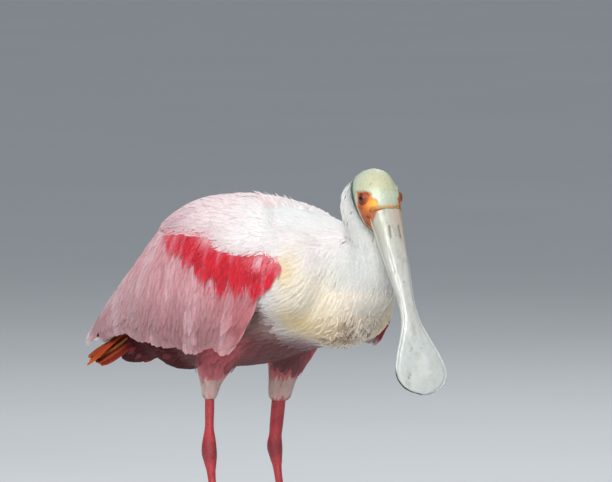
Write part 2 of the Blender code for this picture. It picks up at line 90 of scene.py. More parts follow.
# Coverts under the tail: forward, underside, upper side, half width.
UNDERTAIL_STATIONS = [
    (-116, 199, 226, 24), (-132, 194, 220, 25), (-144, 191, 213, 20), (-153, 191.5, 205, 13),
    (-157, 193, 199, 5),
]
UNDERTAIL_FULLNESS = 2.3

HEAD_TURN = math.radians(17)
BILL_PITCH = math.radians(67)
BILL_BASE = np.array([194, -16.2, 348.6])
BILL_LENGTH = 174
# Head from bill base to nape, from BILL_BASE: forward, up, tilt in degrees, half height, half width.
HEAD_STATIONS = [
    (-8.5, -12.3, 35, 14.8, 13.6), (-13.5, -6.5, 33, 19.0, 17.4), (-20.0, 0.6, 27, 23.2, 20.2),
    (-27.5, 6.8, 19, 24.6, 21.0), (-34.5, 11.4, 11, 22.7, 20.8), (-43.5, 12.6, 5, 18.7, 18.4),
    (-50.5, 13.4, 2, 12.3, 13.0), (-55.0, 14.4, 0, 5.0, 6.0),
]
HEAD_FULLNESS = 2.05
EYE_RADIUS = 5.2
EYE_PLACE = (-19.5, 7.4, 16.2)
EYE_OPENING = (4.7, 4.3)
EYE_PLEATS = 22
LID_THICKNESS = 0.75

# Bill from base to tip: share of the length, half width, upper depth, lower depth.
BILL_STATIONS = [
    (-0.01, 15.6, 13.8, 11.0), (0.10, 13.4, 12.2, 10.0), (0.22, 11.9, 10.2, 8.4), (0.36, 9.8, 7.9, 6.2),
    (0.50, 8.1, 5.9, 4.5), (0.60, 9.4, 4.6, 3.2), (0.68, 13.8, 3.4, 2.7), (0.77, 20.3, 3.2, 2.5),
    (0.85, 25.0, 3.0, 2.4), (0.905, 25.4, 2.8, 2.2), (0.95, 21.5, 2.4, 2.0), (0.98, 14.5, 2.0, 1.7),
    (1.00, 4.5, 1.3, 1.1),
]
BILL_FULLNESS = 2.5
BILL_TIP_DROOP = 3.0
BILL_GAP = 0.3

# Folded wing: forward, ridge height, widest height, lower edge height, half width.
WING_STATIONS = [
    (106, 326, 285, 262, 71), (80, 337, 283, 244, 74), (50, 345.5, 279, 222, 75), (20, 349.5, 275, 214, 76),
    (-20, 350.5, 272, 213, 75), (-60, 341.5, 266, 216, 69), (-90, 316, 257, 219, 60),
    (-111, 297, 249, 221, 51), (-130, 281, 243, 221, 43), (-150, 262, 235, 218, 35),
    (-175, 236, 222, 211, 25), (-195, 216, 210, 205, 15), (-204, 210, 207, 204, 8),
]
WING_TIP = -204
WING_FRONT = {
    "right": [(0.0, 30), (0.2, 70), (0.4, 97), (0.55, 105), (0.7, 97), (0.85, 74), (1.0, 44)],
    "left": [(0.0, 30), (0.2, 70), (0.4, 97), (0.55, 107), (0.7, 107), (0.85, 105), (1.0, 102)],
}
DROOP_FROM = 45
DROOP_OVER = 60
WING_DROOP = {"right": 0, "left": 42}
WING_RIDGE_GAP = 0.4
WING_SIDE_SHARE = 0.55
WING_ROUND = 2 / 2.25
WING_TUCK_IN = 0.07
SLAB_FRONT_ROOM = 6
SLAB_TIP_ROOM = 22

TAIL_ROOT = (-100, 0, 264)
TAIL_LENGTH = 106
TAIL_SLOPE = math.radians(37)
TAIL_SPREAD = math.radians(19)
TAIL_FEATHERS = 12
TAIL_CROWN = 19.0

LEGS = {
    "right": {
        "thigh": [(10, -34, 242, 27), (0, -34, 218, 24), (-11, -33, 197, 18.5), (-17, -31.5, 185, 12.2),
                  (-20, -30.5, 175, 7.4), (-21, -30, 167.5, 5.6)],
        "ankle": (-22, -30, 120),
        "foot": (-3, -32, 0),
        "shin": 4.6,
    },
    "left": {
        "thigh": [(32, 34, 242, 27), (24, 33, 218, 24), (17.5, 30, 199, 19), (13.5, 28.5, 185, 14),
                  (11.5, 27.5, 174, 10.6), (10.5, 27, 165.5, 8.4)],
        "ankle": (4, 27, 123),
        "foot": (24, 30, 0),
        "shin": 6.8,
    },
}
ANKLE_RADIUS = 7.4
TARSUS_RADIUS = 3.9
TARSUS_FOOT_RADIUS = 5.2
TARSUS_END = 11
TOES = [("inner", -30, 60, 4.3), ("middle", 2, 78, 4.6), ("outer", 33, 66, 4.4), ("hind", 172, 30, 3.9)]
TOE_TIP_SHARE = 0.62
TOE_SWELL = 0.11
CLAW_LENGTH = 10.0
CLAW_ROOT = 1.6  # how much of a claw lies inside its toe
CLAW_RADIUS = 2.0
WEB_REACH = 24
WEB_HEIGHT = 1.0
WEB_THICKNESS = 2.2
SOLE_DEPTH = 0.45
LEG_FLATNESS = (0.88, 0.86)  # thigh and shank
PAD_RADIUS = 8.5
PAD_HEIGHT = 10.5

# How far the skin lies inside the outline, for the feathers over it.
TRUNK_COAT = 4.0
NECK_COAT = 2.4
HEAD_COAT = 1.6
BARE_COAT = 0.7
TAIL_COAT = 3.0
THIGH_COAT = 2.6
WING_COAT = 3.4
FRONT_TUCK = 2.6  # how much deeper the skin lies at the wing's front edge
SHOULDER = (86, 42, 284)  # the breast's feathers swell out to the wing's front edge
SHOULDER_RADII = (44, 27, 40)
BODY_VOXEL = 2.6
LEG_VOXEL = 0.85

Form = namedtuple("Form", "points quads triangles")


# Numbers and places.

def curve(keys, x):
    """The values at x of a smooth curve through keys, whose first numbers rise or fall steadily."""
    keys = np.asarray(keys, float)
    if keys[0, 0] > keys[-1, 0]:
        keys = keys[::-1]
    xs, ys = keys[:, 0], keys[:, 1:]
    last = len(xs) - 1
    before = np.maximum(np.arange(last + 1) - 1, 0)
    after = np.minimum(np.arange(last + 1) + 1, last)
    slopes = (ys[after] - ys[before]) / (xs[after] - xs[before])[:, None]
    x = np.clip(np.asarray(x, float), xs[0], xs[-1])
    i = np.clip(np.searchsorted(xs, x, "right") - 1, 0, last - 1)
    span = (xs[i + 1] - xs[i])[..., None]
    t = (x - xs[i])[..., None] / span
    start = (2 * t**3 - 3 * t**2 + 1) * ys[i] + (t**3 - 2 * t**2 + t) * span * slopes[i]
    end = (3 * t**2 - 2 * t**3) * ys[i + 1] + (t**3 - t**2) * span * slopes[i + 1]
    return start + end


def along_stations(stations, count):
    """Stations read at count even steps from the first to the last."""
    keys = [(i, *s) for i, s in enumerate(stations)]
    return curve(keys, np.linspace(0, len(stations) - 1, count)).T


def power(x, exponent):
    return np.sign(x) * np.abs(x) ** exponent


def ramp(x, low, high):
    """0 below low, 1 above high, and smooth between them. low may be the higher number."""
    t = np.clip((x - low) / (high - low), 0, 1)
    return t * t * (3 - 2 * t)


def unit(v):
    return v / np.maximum(np.linalg.norm(v, axis=-1, keepdims=True), 1e-9)


def world(places):
    """Places on the bird in metres, in the model's frame."""
    places = np.asarray(places, float)
    return np.stack([places[..., 1], ORIGIN_FORWARD - places[..., 0], places[..., 2]], -1) * MM


def waves(places, size, seed=0):
    """A smooth random number of about -1 to 1 at each place, changing over about size."""
    rng = np.random.default_rng(seed)
    total = np.zeros(len(places))
    count = 7
    for _ in range(count):
        heading = unit(rng.normal(size=places.shape[1]))
        total += np.sin(places @ heading * (2.2 / size) * rng.uniform(0.7, 1.5) + rng.uniform(0, 6.283))
    return total / math.sqrt(count / 2) / 1.6


HEAD_FORWARD = np.array([math.cos(HEAD_TURN), -math.sin(HEAD_TURN), 0])
HEAD_LEFT = np.array([math.sin(HEAD_TURN), math.cos(HEAD_TURN), 0])
UP = np.array([0.0, 0.0, 1.0])
LEFTWARD = np.array([0.0, 1.0, 0.0])
AHEAD = np.array([1.0, 0.0, 0.0])
BILL_ALONG = HEAD_FORWARD * math.cos(BILL_PITCH) - UP * math.sin(BILL_PITCH)
BILL_CROWN = HEAD_FORWARD * math.sin(BILL_PITCH) + UP * math.cos(BILL_PITCH)


def from_head(forward, up, left):
    """A place given from the culmen's base along the head's own level."""
    forward, up, left = (np.asarray(v, float)[..., None] for v in (forward, up, left))
    return BILL_BASE + HEAD_FORWARD * forward + UP * up + HEAD_LEFT * left


def to_head(places):
    """Forward, up and left from the culmen's base."""
    d = places - BILL_BASE
    return d @ HEAD_FORWARD, d @ UP, d @ HEAD_LEFT


def blob(p, centre, size):
    """1 at the centre, falling to 0 over about size."""
    d = (p - np.asarray(centre, float)) / size
    return np.exp(-(d**2).sum(-1))


def bell(offset, width, second=0, second_width=1):
    """1 at no offset, falling off smoothly over the width, in one or two directions."""
    return np.exp(-((offset / width) ** 2 + (second / second_width) ** 2))


def mirrored(p):
    """The places with their left counted outwards on both sides."""
    return np.stack([p[:, 0], np.abs(p[:, 1]), p[:, 2]], -1)


# Forms.

def section(centre, side, crown, wide, top, bottom, sides, fullness=2.0):
    """Rings round the centres: superellipses as tall as top above and bottom below."""
    angle = 2 * math.pi * np.arange(sides) / sides
    across = power(np.cos(angle), 2 / fullness)
    height = power(np.sin(angle), 2 / fullness)
    side, crown = (np.broadcast_to(way, centre.shape)[:, None] for way in (side, crown))
    tall = height * np.where(height > 0, top[:, None], bottom[:, None])
    return centre[:, None] + side * (wide[:, None] * across)[..., None] + crown * tall[..., None]


def facing_out(form):
    """The form with its faces turned so that it encloses a positive volume."""
    p = form.points
    triangles = np.concatenate([form.quads[:, [0, 1, 2]], form.quads[:, [0, 2, 3]], form.triangles])
    a, b, c = (p[triangles[:, k]] for k in range(3))
    if np.einsum("ij,ij->", a - p.mean(0), np.cross(b - a, c - a)) < 0:
        return Form(p, form.quads[:, ::-1], form.triangles[:, ::-1])
    return form


def grid_faces(rows, columns, closed):
    """Quads between the rows of a grid of points."""
    row = np.arange(rows - 1)[:, None] * columns
    column = np.arange(columns if closed else columns - 1)[None]
    after = (column + 1) % columns
    quads = [row + column, row + after, row + columns + after, row + columns + column]
    return np.stack(quads, -1).reshape(-1, 4)


def tube(rings):
    """A closed form through rings of equally many points."""
    rows, columns, _ = rings.shape
    points = np.concatenate([rings.reshape(-1, 3), rings[0].mean(0)[None], rings[-1].mean(0)[None]])
    k = np.arange(columns)
    after = (k + 1) % columns
    last = (rows - 1) * columns
    start = np.stack([after, k, np.full(columns, rows * columns)], -1)
    end = np.stack([last + k, last + after, np.full(columns, rows * columns + 1)], -1)
    return facing_out(Form(points, grid_faces(rows, columns, True), np.concatenate([start, end])))


def slab(outer, inner):
    """A closed sheet between two equal grids of points."""
    rows, columns, _ = outer.shape
    top = grid_faces(rows, columns, False)
    index = np.arange(rows * columns).reshape(rows, columns)
    around = np.concatenate([index[0], index[1:-1, -1], index[-1, ::-1], index[-2:0:-1, 0]])
    after = np.roll(around, -1)
    count = rows * columns
    edge = np.stack([around, around + count, after + count, after], -1)
    points = np.concatenate([outer.reshape(-1, 3), inner.reshape(-1, 3)])
    quads = np.concatenate([top, top[:, ::-1] + count, edge])
    return facing_out(Form(points, quads, np.zeros((0, 3), int)))


def joined(forms):
    starts = np.cumsum([0] + [len(f.points) for f in forms])
    points = np.concatenate([f.points for f in forms])
    quads = np.concatenate([f.quads + s for f, s in zip(forms, starts)])
    triangles = np.concatenate([f.triangles + s for f, s in zip(forms, starts)])
    return Form(points, quads, triangles)


def mesh_of(name, form, colours=None, maps=None, normals=None, lots=None):
    """A mesh of the form, with colours, UV maps and chance numbers by point, and normals by corner."""
    mesh = bpy.data.meshes.new(name)
    corners = np.concatenate([form.quads.ravel(), form.triangles.ravel()]).astype(np.int32)
    quads, triangles = len(form.quads), len(form.triangles)
    starts = np.concatenate([np.arange(quads) * 4, quads * 4 + np.arange(triangles) * 3]).astype(np.int32)
    mesh.vertices.add(len(form.points))
    mesh.vertices.foreach_set("co", world(form.points).astype(np.float32).ravel())
    mesh.loops.add(len(corners))
    mesh.loops.foreach_set("vertex_index", corners)
    mesh.polygons.add(len(starts))
    mesh.polygons.foreach_set("loop_start", starts)
    mesh.update(calc_edges=True)
    for map_name, places in (maps or {}).items():
        layer = mesh.uv_layers.new(name=map_name)
        layer.data.foreach_set("uv", places[corners].astype(np.float32).ravel())
    if colours is not None:
        paint = mesh.color_attributes.new("Paint", "FLOAT_COLOR", "POINT")
        paint.data.foreach_set("color", linear(colours).astype(np.float32).ravel())
    if lots is not None:
        mesh.attributes.new("Lot", "FLOAT", "POINT").data.foreach_set("value", lots.astype(np.float32))
    mesh.shade_smooth()
    if normals is not None:
        mesh.normals_split_custom_set(np.stack([normals[:, 1], -normals[:, 0], normals[:, 2]], -1))
    return mesh


def linear(colours):
    """Display colours of 0 to 255 as linear ones with an alpha of 1."""
    c = np.clip(np.asarray(colours, float) / 255, 0, 1)
    c = np.where(c <= 0.04045, c / 12.92, ((c + 0.055) / 1.055) ** 2.4)
    return np.concatenate([c, np.ones((*c.shape[:-1], 1))], -1)


def placed(name, mesh, *materials):
    obj = bpy.data.objects.new(name, mesh)
    bpy.context.scene.collection.objects.link(obj)
    for made in materials:
        mesh.materials.append(made)
    return obj


def remeshed(form, voxel, smoothing):
    """The forms grown together into one even skin."""
    obj = placed("remesh", mesh_of("remesh", form))
    remesh = obj.modifiers.new("remesh", "REMESH")
    remesh.mode = "VOXEL"
    remesh.voxel_size = voxel * MM
    smooth = obj.modifiers.new("smooth", "SMOOTH")
    smooth.factor = 0.5
    smooth.iterations = smoothing
    mesh = obj.evaluated_get(bpy.context.evaluated_depsgraph_get()).to_mesh()
    flat = np.empty(len(mesh.vertices) * 3, np.float32)
    mesh.vertices.foreach_get("co", flat)
    corners = np.empty(len(mesh.loops), np.int32)
    mesh.loops.foreach_get("vertex_index", corners)
    p = flat.reshape(-1, 3).astype(float) / MM
    places = np.stack([ORIGIN_FORWARD - p[:, 1], p[:, 0], p[:, 2]], -1)
    bpy.data.objects.remove(obj, do_unlink=True)
    return Form(places, corners.reshape(-1, 4), np.zeros((0, 3), int))


# Flesh.

def trunk_form(inset):
    forward, low, high, wide = along_stations(TRUNK_STATIONS, 57)
    centre = np.stack([forward, 0 * forward, (low + high) / 2], -1)
    half = np.maximum((high - low) / 2 - inset, 1.0)
    wide = np.maximum(wide - inset, 1.0)
    centre[:, 0] = np.clip(centre[:, 0], TRUNK_STATIONS[0][0] + inset, TRUNK_STATIONS[-1][0] - inset)
    return tube(section(centre, LEFTWARD, UP, wide, half, half, 72, TRUNK_FULLNESS))


def neck_form(inset):
    forward, left, up, radius, rise = along_stations(NECK_STATIONS, 41)
    lean = np.radians(rise)
    crown = np.stack([-np.sin(lean), 0 * lean, np.cos(lean)], -1)
    radius = np.maximum(radius - inset, 1.0)
    return tube(section(np.stack([forward, left, up], -1), LEFTWARD, crown, radius, radius, radius, 48))


def skull_form(inset, count, sides):
    forward, up, tilt, tall, wide = along_stations(HEAD_STATIONS, count)
    lean = np.radians(tilt)[:, None]
    crown = HEAD_FORWARD * np.sin(lean) + UP * np.cos(lean)
    tall = np.maximum(tall - inset, 0.6)
    wide = np.maximum(wide - inset, 0.6)
    centre = from_head(forward, up, 0 * up)
    return tube(section(centre, HEAD_LEFT, crown, wide, tall, tall, sides, HEAD_FULLNESS))


def undertail_form(inset):
    forward, low, high, wide = along_stations(UNDERTAIL_STATIONS, 25)
    half = np.maximum((high - low) / 2 - inset, 0.8)
    centre = np.stack([forward, 0 * forward, (low + high) / 2], -1)
    wide = np.maximum(wide - inset, 1)
    return tube(section(centre, LEFTWARD, UP, wide, half, half, 40, UNDERTAIL_FULLNESS))


def thigh_form(leg, inset):
    forward, left, up, radius = along_stations(leg["thigh"], 31)
    radius = np.maximum(radius - inset * ramp(up, 165, 190), 1.0)
    centre = np.stack([forward, left, up], -1)
    return tube(section(centre, LEFTWARD, AHEAD, radius * LEG_FLATNESS[0], radius, radius, 48))


class Wing:
    """A folded wing's outer surface, by forward and share: 0 at the ridge and 1 at the lower edge."""

    def __init__(self, label, side):
        self.label = label
        self.side = side

    def front(self, share):
        """How far forward the wing reaches."""
        return curve(WING_FRONT[self.label], share)[..., 0]

    def point(self, forward, share):
        """Places on the surface, and how far the wing droops there."""
        reach = np.clip((forward - DROOP_FROM) / DROOP_OVER, 0, 1)
        droop = WING_DROOP[self.label] * reach**2 * (3 - 2 * reach) * share
        ridge, widest, lower, half = np.moveaxis(curve(WING_STATIONS, forward), -1, 0)
        turn = np.clip(share / WING_SIDE_SHARE, 0, 1) * math.pi / 2
        out = WING_RIDGE_GAP + (half - WING_RIDGE_GAP) * power(np.sin(turn), WING_ROUND)
        up = widest + (ridge - widest) * power(np.maximum(np.cos(turn), 0), WING_ROUND)
        down = np.clip((share - WING_SIDE_SHARE) / (1 - WING_SIDE_SHARE), 0, 1.2)
        out = np.where(down > 0, half * (1 - WING_TUCK_IN * down**2), out)
        up = np.where(down > 0, widest - (widest - lower) * down, up)
        return np.stack([forward, self.side * out, up - droop], -1), droop

    def outward(self, forward, share):
        """The outward direction, and the way down the surface with the length of one share."""
        step = 1.5
        ahead = self.point(forward + step, share)[0] - self.point(forward - step, share)[0]
        low = np.minimum(share + 0.02, 1.15)
        high = np.maximum(share - 0.02, 0.002)
        down = self.point(forward, low)[0] - self.point(forward, high)[0]
        return unit(np.cross(ahead, down) * self.side), down / (low - high)[..., None]

    def share_at(self, forward, height):
        """The share at which the wing has a given height, before any droop."""
        shares = np.linspace(0, 1, 101)
        found = np.empty(len(forward))
        for i, (f, h) in enumerate(zip(forward, height)):
            place, droop = self.point(np.full(101, f), shares)
            found[i] = np.interp(-h, -(place[:, 2] + droop), shares)
        return found


WINGS = [Wing(label, side) for label, side in SIDES]


def wing_slab(wing):
    """The wing's inner body, inside its feathers."""
    share, along = np.meshgrid(np.linspace(0.01, 0.93, 40), np.linspace(0, 1, 90))
    edge = wing.front(share)
    front = edge - SLAB_FRONT_ROOM
    forward = front + (WING_TIP + SLAB_TIP_ROOM - front) * along
    outward, _ = wing.outward(forward, share)
    thick = 4.2 + 7.0 * (1 - ramp(along, 0.4, 0.9)) * (1 - ramp(share, 0.55, 0.95))
    depth = WING_COAT + FRONT_TUCK * ramp(edge - forward, 20, 6)
    outer = wing.point(forward, share)[0] - outward * depth[..., None]
    return slab(outer, outer - outward * thick[..., None])


def shank_form(leg):
    """The bare leg, from inside the thigh's feathers to the foot."""
    top = np.array(leg["thigh"][-1][:3], float) + (0, 0, 6)
    ankle, foot = np.array(leg["ankle"], float), np.array(leg["foot"], float)
    low = foot + (ankle - foot) * (TARSUS_END * 0.4 / ankle[2])
    shin, joint = leg["shin"], ANKLE_RADIUS
    shin_line = [(0.0, shin), (0.3, shin), (0.6, shin * 0.96), (0.8, joint * 0.84), (0.93, joint * 0.97)]
    tarsus_line = [
        (0.03, joint), (0.1, joint * 0.8), (0.22, TARSUS_RADIUS), (0.6, TARSUS_RADIUS),
        (0.85, TARSUS_RADIUS * 1.05), (1.0, TARSUS_FOOT_RADIUS),
    ]
    keys = [(*(top + (ankle - top) * share), radius) for share, radius in shin_line]
    keys += [(*(ankle + (low - ankle) * share), radius) for share, radius in tarsus_line]
    forward, left, up, radius = along_stations(keys, 61)
    centre = np.stack([forward, left, up], -1)
    return tube(section(centre, LEFTWARD, AHEAD, radius * LEG_FLATNESS[1], radius, radius, 28))


def toe_way(side, degrees):
    """The way a toe points along the floor, and the way across it."""
    turn = math.radians(degrees) * side
    ahead, out = math.cos(turn), math.sin(turn)
    return np.array([ahead, out, 0]), np.array([-out, ahead, 0])


def along_toe(leg, way, reach, height):
    """Places at the given reaches from the foot's middle and heights over the floor."""
    return np.stack([leg["foot"][0] + way[0] * reach, leg["foot"][1] + way[1] * reach, height], -1)


def toe_form(leg, side, degrees, length, radius):
    """A toe with padded joints, flat underneath."""
    way, across = toe_way(side, degrees)
    share = np.linspace(0, 1, 40)
    swell = 1 + TOE_SWELL * np.cos(2 * math.pi * 3 * share)
    thick = radius * (1 + (TOE_TIP_SHARE - 1) * share) * swell
    thick *= np.sqrt(np.clip((1.04 - share) / 0.1, 0, 1))
    height = thick * 0.84 + 1.2 * (1 - share) ** 3
    rings = section(along_toe(leg, way, length * share, height), across, UP, thick, thick, thick, 24)
    rings[..., 2] = np.maximum(rings[..., 2], 0)
    return tube(rings)


def web_form(leg, side, first, second):
    """The web between two front toes, its edge curved in."""
    share, out = np.meshgrid(np.linspace(0, 1, 9), np.linspace(0.1, 1, 9))
    turn = np.radians(first + (second - first) * share) * side
    reach = WEB_REACH * (1 - 0.36 * np.sin(math.pi * share)) * out
    low = along_toe(leg, (np.cos(turn), np.sin(turn)), reach, 0 * reach + WEB_HEIGHT)
    return slab(low + (0, 0, WEB_THICKNESS), low)


def pad_form(leg):
    """The ball of the foot, under the leg."""
    share = np.linspace(0, 1, 9)
    wide = PAD_RADIUS * (1 - 0.3 * share**2)
    forward, left, _ = leg["foot"]
    centre = np.stack([forward + 0 * share, left + 0 * share, PAD_HEIGHT * share], -1)
    return tube(section(centre, LEFTWARD, AHEAD, wide, wide, wide, 28))


def leg_form(label, side):
    """Shank, foot, toes and webs grown together, level underneath."""
    leg = LEGS[label]
    forms = [shank_form(leg), pad_form(leg)]
    forms += [toe_form(leg, side, degrees, length, radius) for _, degrees, length, radius in TOES]
    fronts = [t[1] for t in TOES[:3]]
    forms += [web_form(leg, side, first, second) for first, second in zip(fronts, fronts[1:])]
    made = remeshed(joined(forms), LEG_VOXEL, 5)
    points = made.points
    points[:, 2] = np.where(points[:, 2] < SOLE_DEPTH, 0.0, points[:, 2])
    return made._replace(points=points)


def ball(centre, radii):
    turn = np.linspace(0, math.pi, 25)
    centres = np.array(centre) + AHEAD * (radii[0] * np.cos(turn))[:, None]
    out = np.maximum(np.sin(turn), 0.01)
    return tube(section(centres, LEFTWARD, UP, radii[1] * out, radii[2] * out, radii[2] * out, 36))


def smoothed(form, rounds, share):
    """The form with its points eased towards their neighbours, each by its share."""
    points, quads = form.points.copy(), form.quads
    around = np.bincount(quads.ravel(), minlength=len(points))[:, None]
    for _ in range(rounds):
        centre = np.repeat(points[quads].mean(1), 4, axis=0)
        total = np.stack([np.bincount(quads.ravel(), centre[:, k], len(points)) for k in range(3)], -1)
        points += (total / around - points) * share[:, None]
    return form._replace(points=points)


def body_form():
    """Trunk, neck, head core, wings and thighs grown together."""
    forms = [trunk_form(TRUNK_COAT), neck_form(NECK_COAT)]
    forms += [skull_form(HEAD_COAT, 41, 48), undertail_form(TAIL_COAT)]
    for wing in WINGS:
        low = WING_DROOP[wing.label] * WING_SIDE_SHARE
        forms.append(ball((SHOULDER[0], SHOULDER[1] * wing.side, SHOULDER[2] - low), SHOULDER_RADII))
        forms.append(wing_slab(wing))
        forms.append(thigh_form(LEGS[wing.label], THIGH_COAT))
    form = remeshed(joined(forms), BODY_VOXEL, 7)
    collar = blob(form.points, (134, 0, 300), (34, 50, 34))
    shoulder = blob(mirrored(form.points), (96, 62, 285), (22, 22, 42))
    return smoothed(form, 26, np.clip(collar + 0.8 * shoulder, 0, 0.95))


# Head.

CROWN_GREEN = (166, 172, 154)
CROWN_TAN = (182, 176, 134)
BROW_SHEEN_HIGHLIGHT = (190, 204, 186)
# painted highlight: a pale mint sheen on each brow, where light catches the bare skin
NAPE_GREEN = (158, 168, 154)
EAR_GREEN = (114, 152, 134)
PATCH_ORANGE = (172, 90, 44)
PATCH_YELLOW = (238, 172, 66)
PATCH_RUST = (140, 58, 30)
PATCH_BROWN = (150, 76, 44)
PATCH_SPOTS = ((-9.5, -3.0), (-2.5, -1.8), (-13.5, -8.5), (-17, -14))  # forward and up on the head
SPOT_BROWN = (92, 44, 22)
RIM_TAN = (176, 124, 66)
THROAT_YELLOW = (214, 170, 92)
BORDER_BLACK = (36, 42, 38)
FRECKLE_OLIVE = (140, 148, 112)
LID_RED = (112, 46, 26)


def eye_distance(forward, up):
    """How far a place is from the eye's middle, as shares of the lids' opening."""
    return np.hypot((forward - EYE_PLACE[0]) / EYE_OPENING[0], (up - EYE_PLACE[1]) / EYE_OPENING[1])


def eye_relief(forward, up, out):
    """How far out the head's side lies with the eye's socket, swollen ring, pleats and lids."""
    span = np.hypot(forward - EYE_PLACE[0], up - EYE_PLACE[1])
    socket = bell(span, 10.5) * 1.5
    ring = 0.8 * bell(span - 8.2, 1.7) + 0.35 * bell(span - 10.6, 0.8)
    turn = np.arctan2(up - EYE_PLACE[1], forward - EYE_PLACE[0])
    pleats = 0.14 * np.sin(turn * EYE_PLEATS) * bell(span - 7.8, 2.0)
    raised = out + (ring - socket + pleats)
    lid = EYE_PLACE[2] + np.sqrt(np.maximum((EYE_RADIUS + LID_THICKNESS) ** 2 - span**2, 0))
    raised = np.maximum(raised, raised + (lid - raised) * (1 - ramp(span, 5.2, 6.6)))
    eyeball = EYE_PLACE[2] + np.sqrt(np.maximum(EYE_RADIUS**2 - span**2, 0))
    opening = eye_distance(forward, up)
    raised = np.where(opening < 1, eyeball - 2.6 * ramp(1.02 - opening, 0.0, 0.12), raised)
    return np.where(out > 8, raised, out)


def skin_folds(p, forward, up, left, out):
    """How far brow, cheek, crown, ear, gape and fine wrinkles stand out from the bare head."""
    brow = 0.9 * bell(up - 15.5 - 0.10 * (forward + 20), 2.4) * ramp(out, 9, 15) * ramp(forward, -38, -28)
    cheek = waves(np.stack([forward * 0.5 + up, up, left], -1), 4.0, 3) * 0.34 * ramp(up, 2, -9)
    crown = waves(np.stack([forward, left * 1.4, up], -1), 6.5, 4) * 0.22 * ramp(up, 8, 20)
    ear = -1.5 * bell(forward + 38, 2.6, up - 4, 2.2) * ramp(out, 9, 13)
    gape = -0.8 * bell(up + 17.0 + 0.55 * (forward + 14), 1.1) * ramp(out, 9, 12) * ramp(forward, -25, -18)
    return brow + cheek + crown + ear + gape + waves(p, 1.5, 5) * 0.08


def head_form():
    """The bare head with eyelids, brow, folds of the cheek and throat."""
    form = skull_form(BARE_COAT, 230, 260)
    forward, up, left = to_head(form.points)
    out = eye_relief(forward, up, np.abs(left))
    p = from_head(forward, up, np.sign(left) * out)
    normal = unit(p - from_head(np.clip(forward, -45, -14), np.clip(up, -8, 14), 0 * up))
    folds = skin_folds(p, forward, up, left, out)
    push = np.where(eye_distance(forward, up) < 1.25, 0, folds)
    return form._replace(points=p + normal * push[:, None])


def bare_edge(up):
    """How far back the bald skin reaches at each height, from the culmen's base."""
    return np.interp(up, [-30, -18, -14, -4, 4, 10, 18, 25], [-19, -26, -29, -32, -35.5, -38, -42, -47])


def eye_patch(p, forward, up, out):
    """1 on the orange skin between eye, bill and gape, 0 elsewhere."""
    rear = np.interp(up, [-21, -15, -6, 2, 14], [-20.5, -20.5, -22.5, -25.5, -26])
    fore = np.interp(up, [-2, 3, 6, 9, 13], [4, 2, -4, -10, -13])
    patch = ramp(up + 0.7 * waves(p, 5, 12), 15.0, 12.0) * ramp(forward, rear - 1.6, rear + 1.2)
    return patch * (ramp(forward + 0.6 * waves(p, 4, 16), fore + 2.4, fore - 2.0) * ramp(out, 9.5, 12))


def head_colours(p):
    """Greenish bald crown, orange skin round the eye, a painted highlight on each brow, and a dark line where
    the feathers begin.
    """
    forward, up, left = to_head(p)
    out = np.abs(left)
    patch = eye_patch(p, forward, up, out)
    behind = ramp(forward, -27, -37) * ramp(up, 24, 12)
    rim = ramp(up + 0.5 * waves(p, 3, 17), 2.6, 1.4) * ramp(forward, -12, -7)
    freckles = ramp(waves(p, 1.9, 14) + 0.5 * waves(p, 3.1, 15), 1.2, 1.7)
    spots = [np.hypot(forward - spot[0], up - spot[1]) for spot in PATCH_SPOTS]
    return layered(
        tinted(len(p), CROWN_GREEN),
        (CROWN_TAN, ramp(up, 8, 22) * ramp(forward, -34, -14) * 0.5),
        # painted highlight: a pale sheen laid on each brow
        *[(BROW_SHEEN_HIGHLIGHT, blob(p, from_head(-8, 9, 12 * side), 8) * 0.9) for _, side in SIDES],
        (NAPE_GREEN, ramp(forward, -27, -38) * ramp(up, 14, 20) * 0.7),
        (EAR_GREEN, behind * (0.8 + 0.2 * waves(p, 7, 11))),
        (PATCH_ORANGE, patch),
        (PATCH_YELLOW, patch * bell(forward + 6, 8, up - 3, 6)),
        (PATCH_RUST, patch * ramp(waves(p, 4.2, 13), 0.0, 0.8) * 0.7),
        (PATCH_BROWN, patch * ramp(up, -1, -12) * 0.75),
        *[(SPOT_BROWN, ramp(near, 2.0, 0.7) * (out > 9) * 0.8) for near in spots],
        (RIM_TAN, rim * 0.75),
        (THROAT_YELLOW, ramp(up, -14, -24) * ramp(forward, -40, -26) * 0.8),
        (BORDER_BLACK, bell(forward - bare_edge(up) - 2.9, 2.1)),
        (FRECKLE_OLIVE, freckles * (1 - patch) * 0.45),
        (LID_RED, ramp(eye_distance(forward, up), 1.5, 1.05) * (out > 8) * 0.85),
    )


# Colours of the plumage.

MANTLE = (236, 229, 230)
NECK_GREY = (218, 219, 217)
NAPE_WHITE = (236, 236, 236)
BREAST_BUFF = (252, 240, 220)
CREAM = (246, 224, 182)
GOLD = (236, 204, 144)
# Soft marks of the breast, on both sides: colour, place, size and strength.
BREAST_MARKS = (
    (CREAM, (126, 30, 242), (30, 36, 24), 0.7),
    (GOLD, (112, 56, 292), (8, 26, 15), 0.8),
    (GOLD, (108, 48, 243), (17, 26, 13), 0.8),
    (GOLD, (128, 34, 232), (16, 16, 10), 0.4),
)
# pink of the belly, darkened with painted shade where it lies under the body
SHADED_BELLY_PINK = (108, 66, 68)
# pinkish grey of the flanks, darkened with painted shade below the wing
SHADED_FLANK = (158, 124, 119)
RUMP_PINK = (214, 110, 120)
# deep red of the undertail coverts, darkened with painted shade under the tail
SHADED_CRIMSON = (72, 8, 15)
VENT_PINK = (186, 120, 128)
CURL_CREAM = (226, 208, 188)
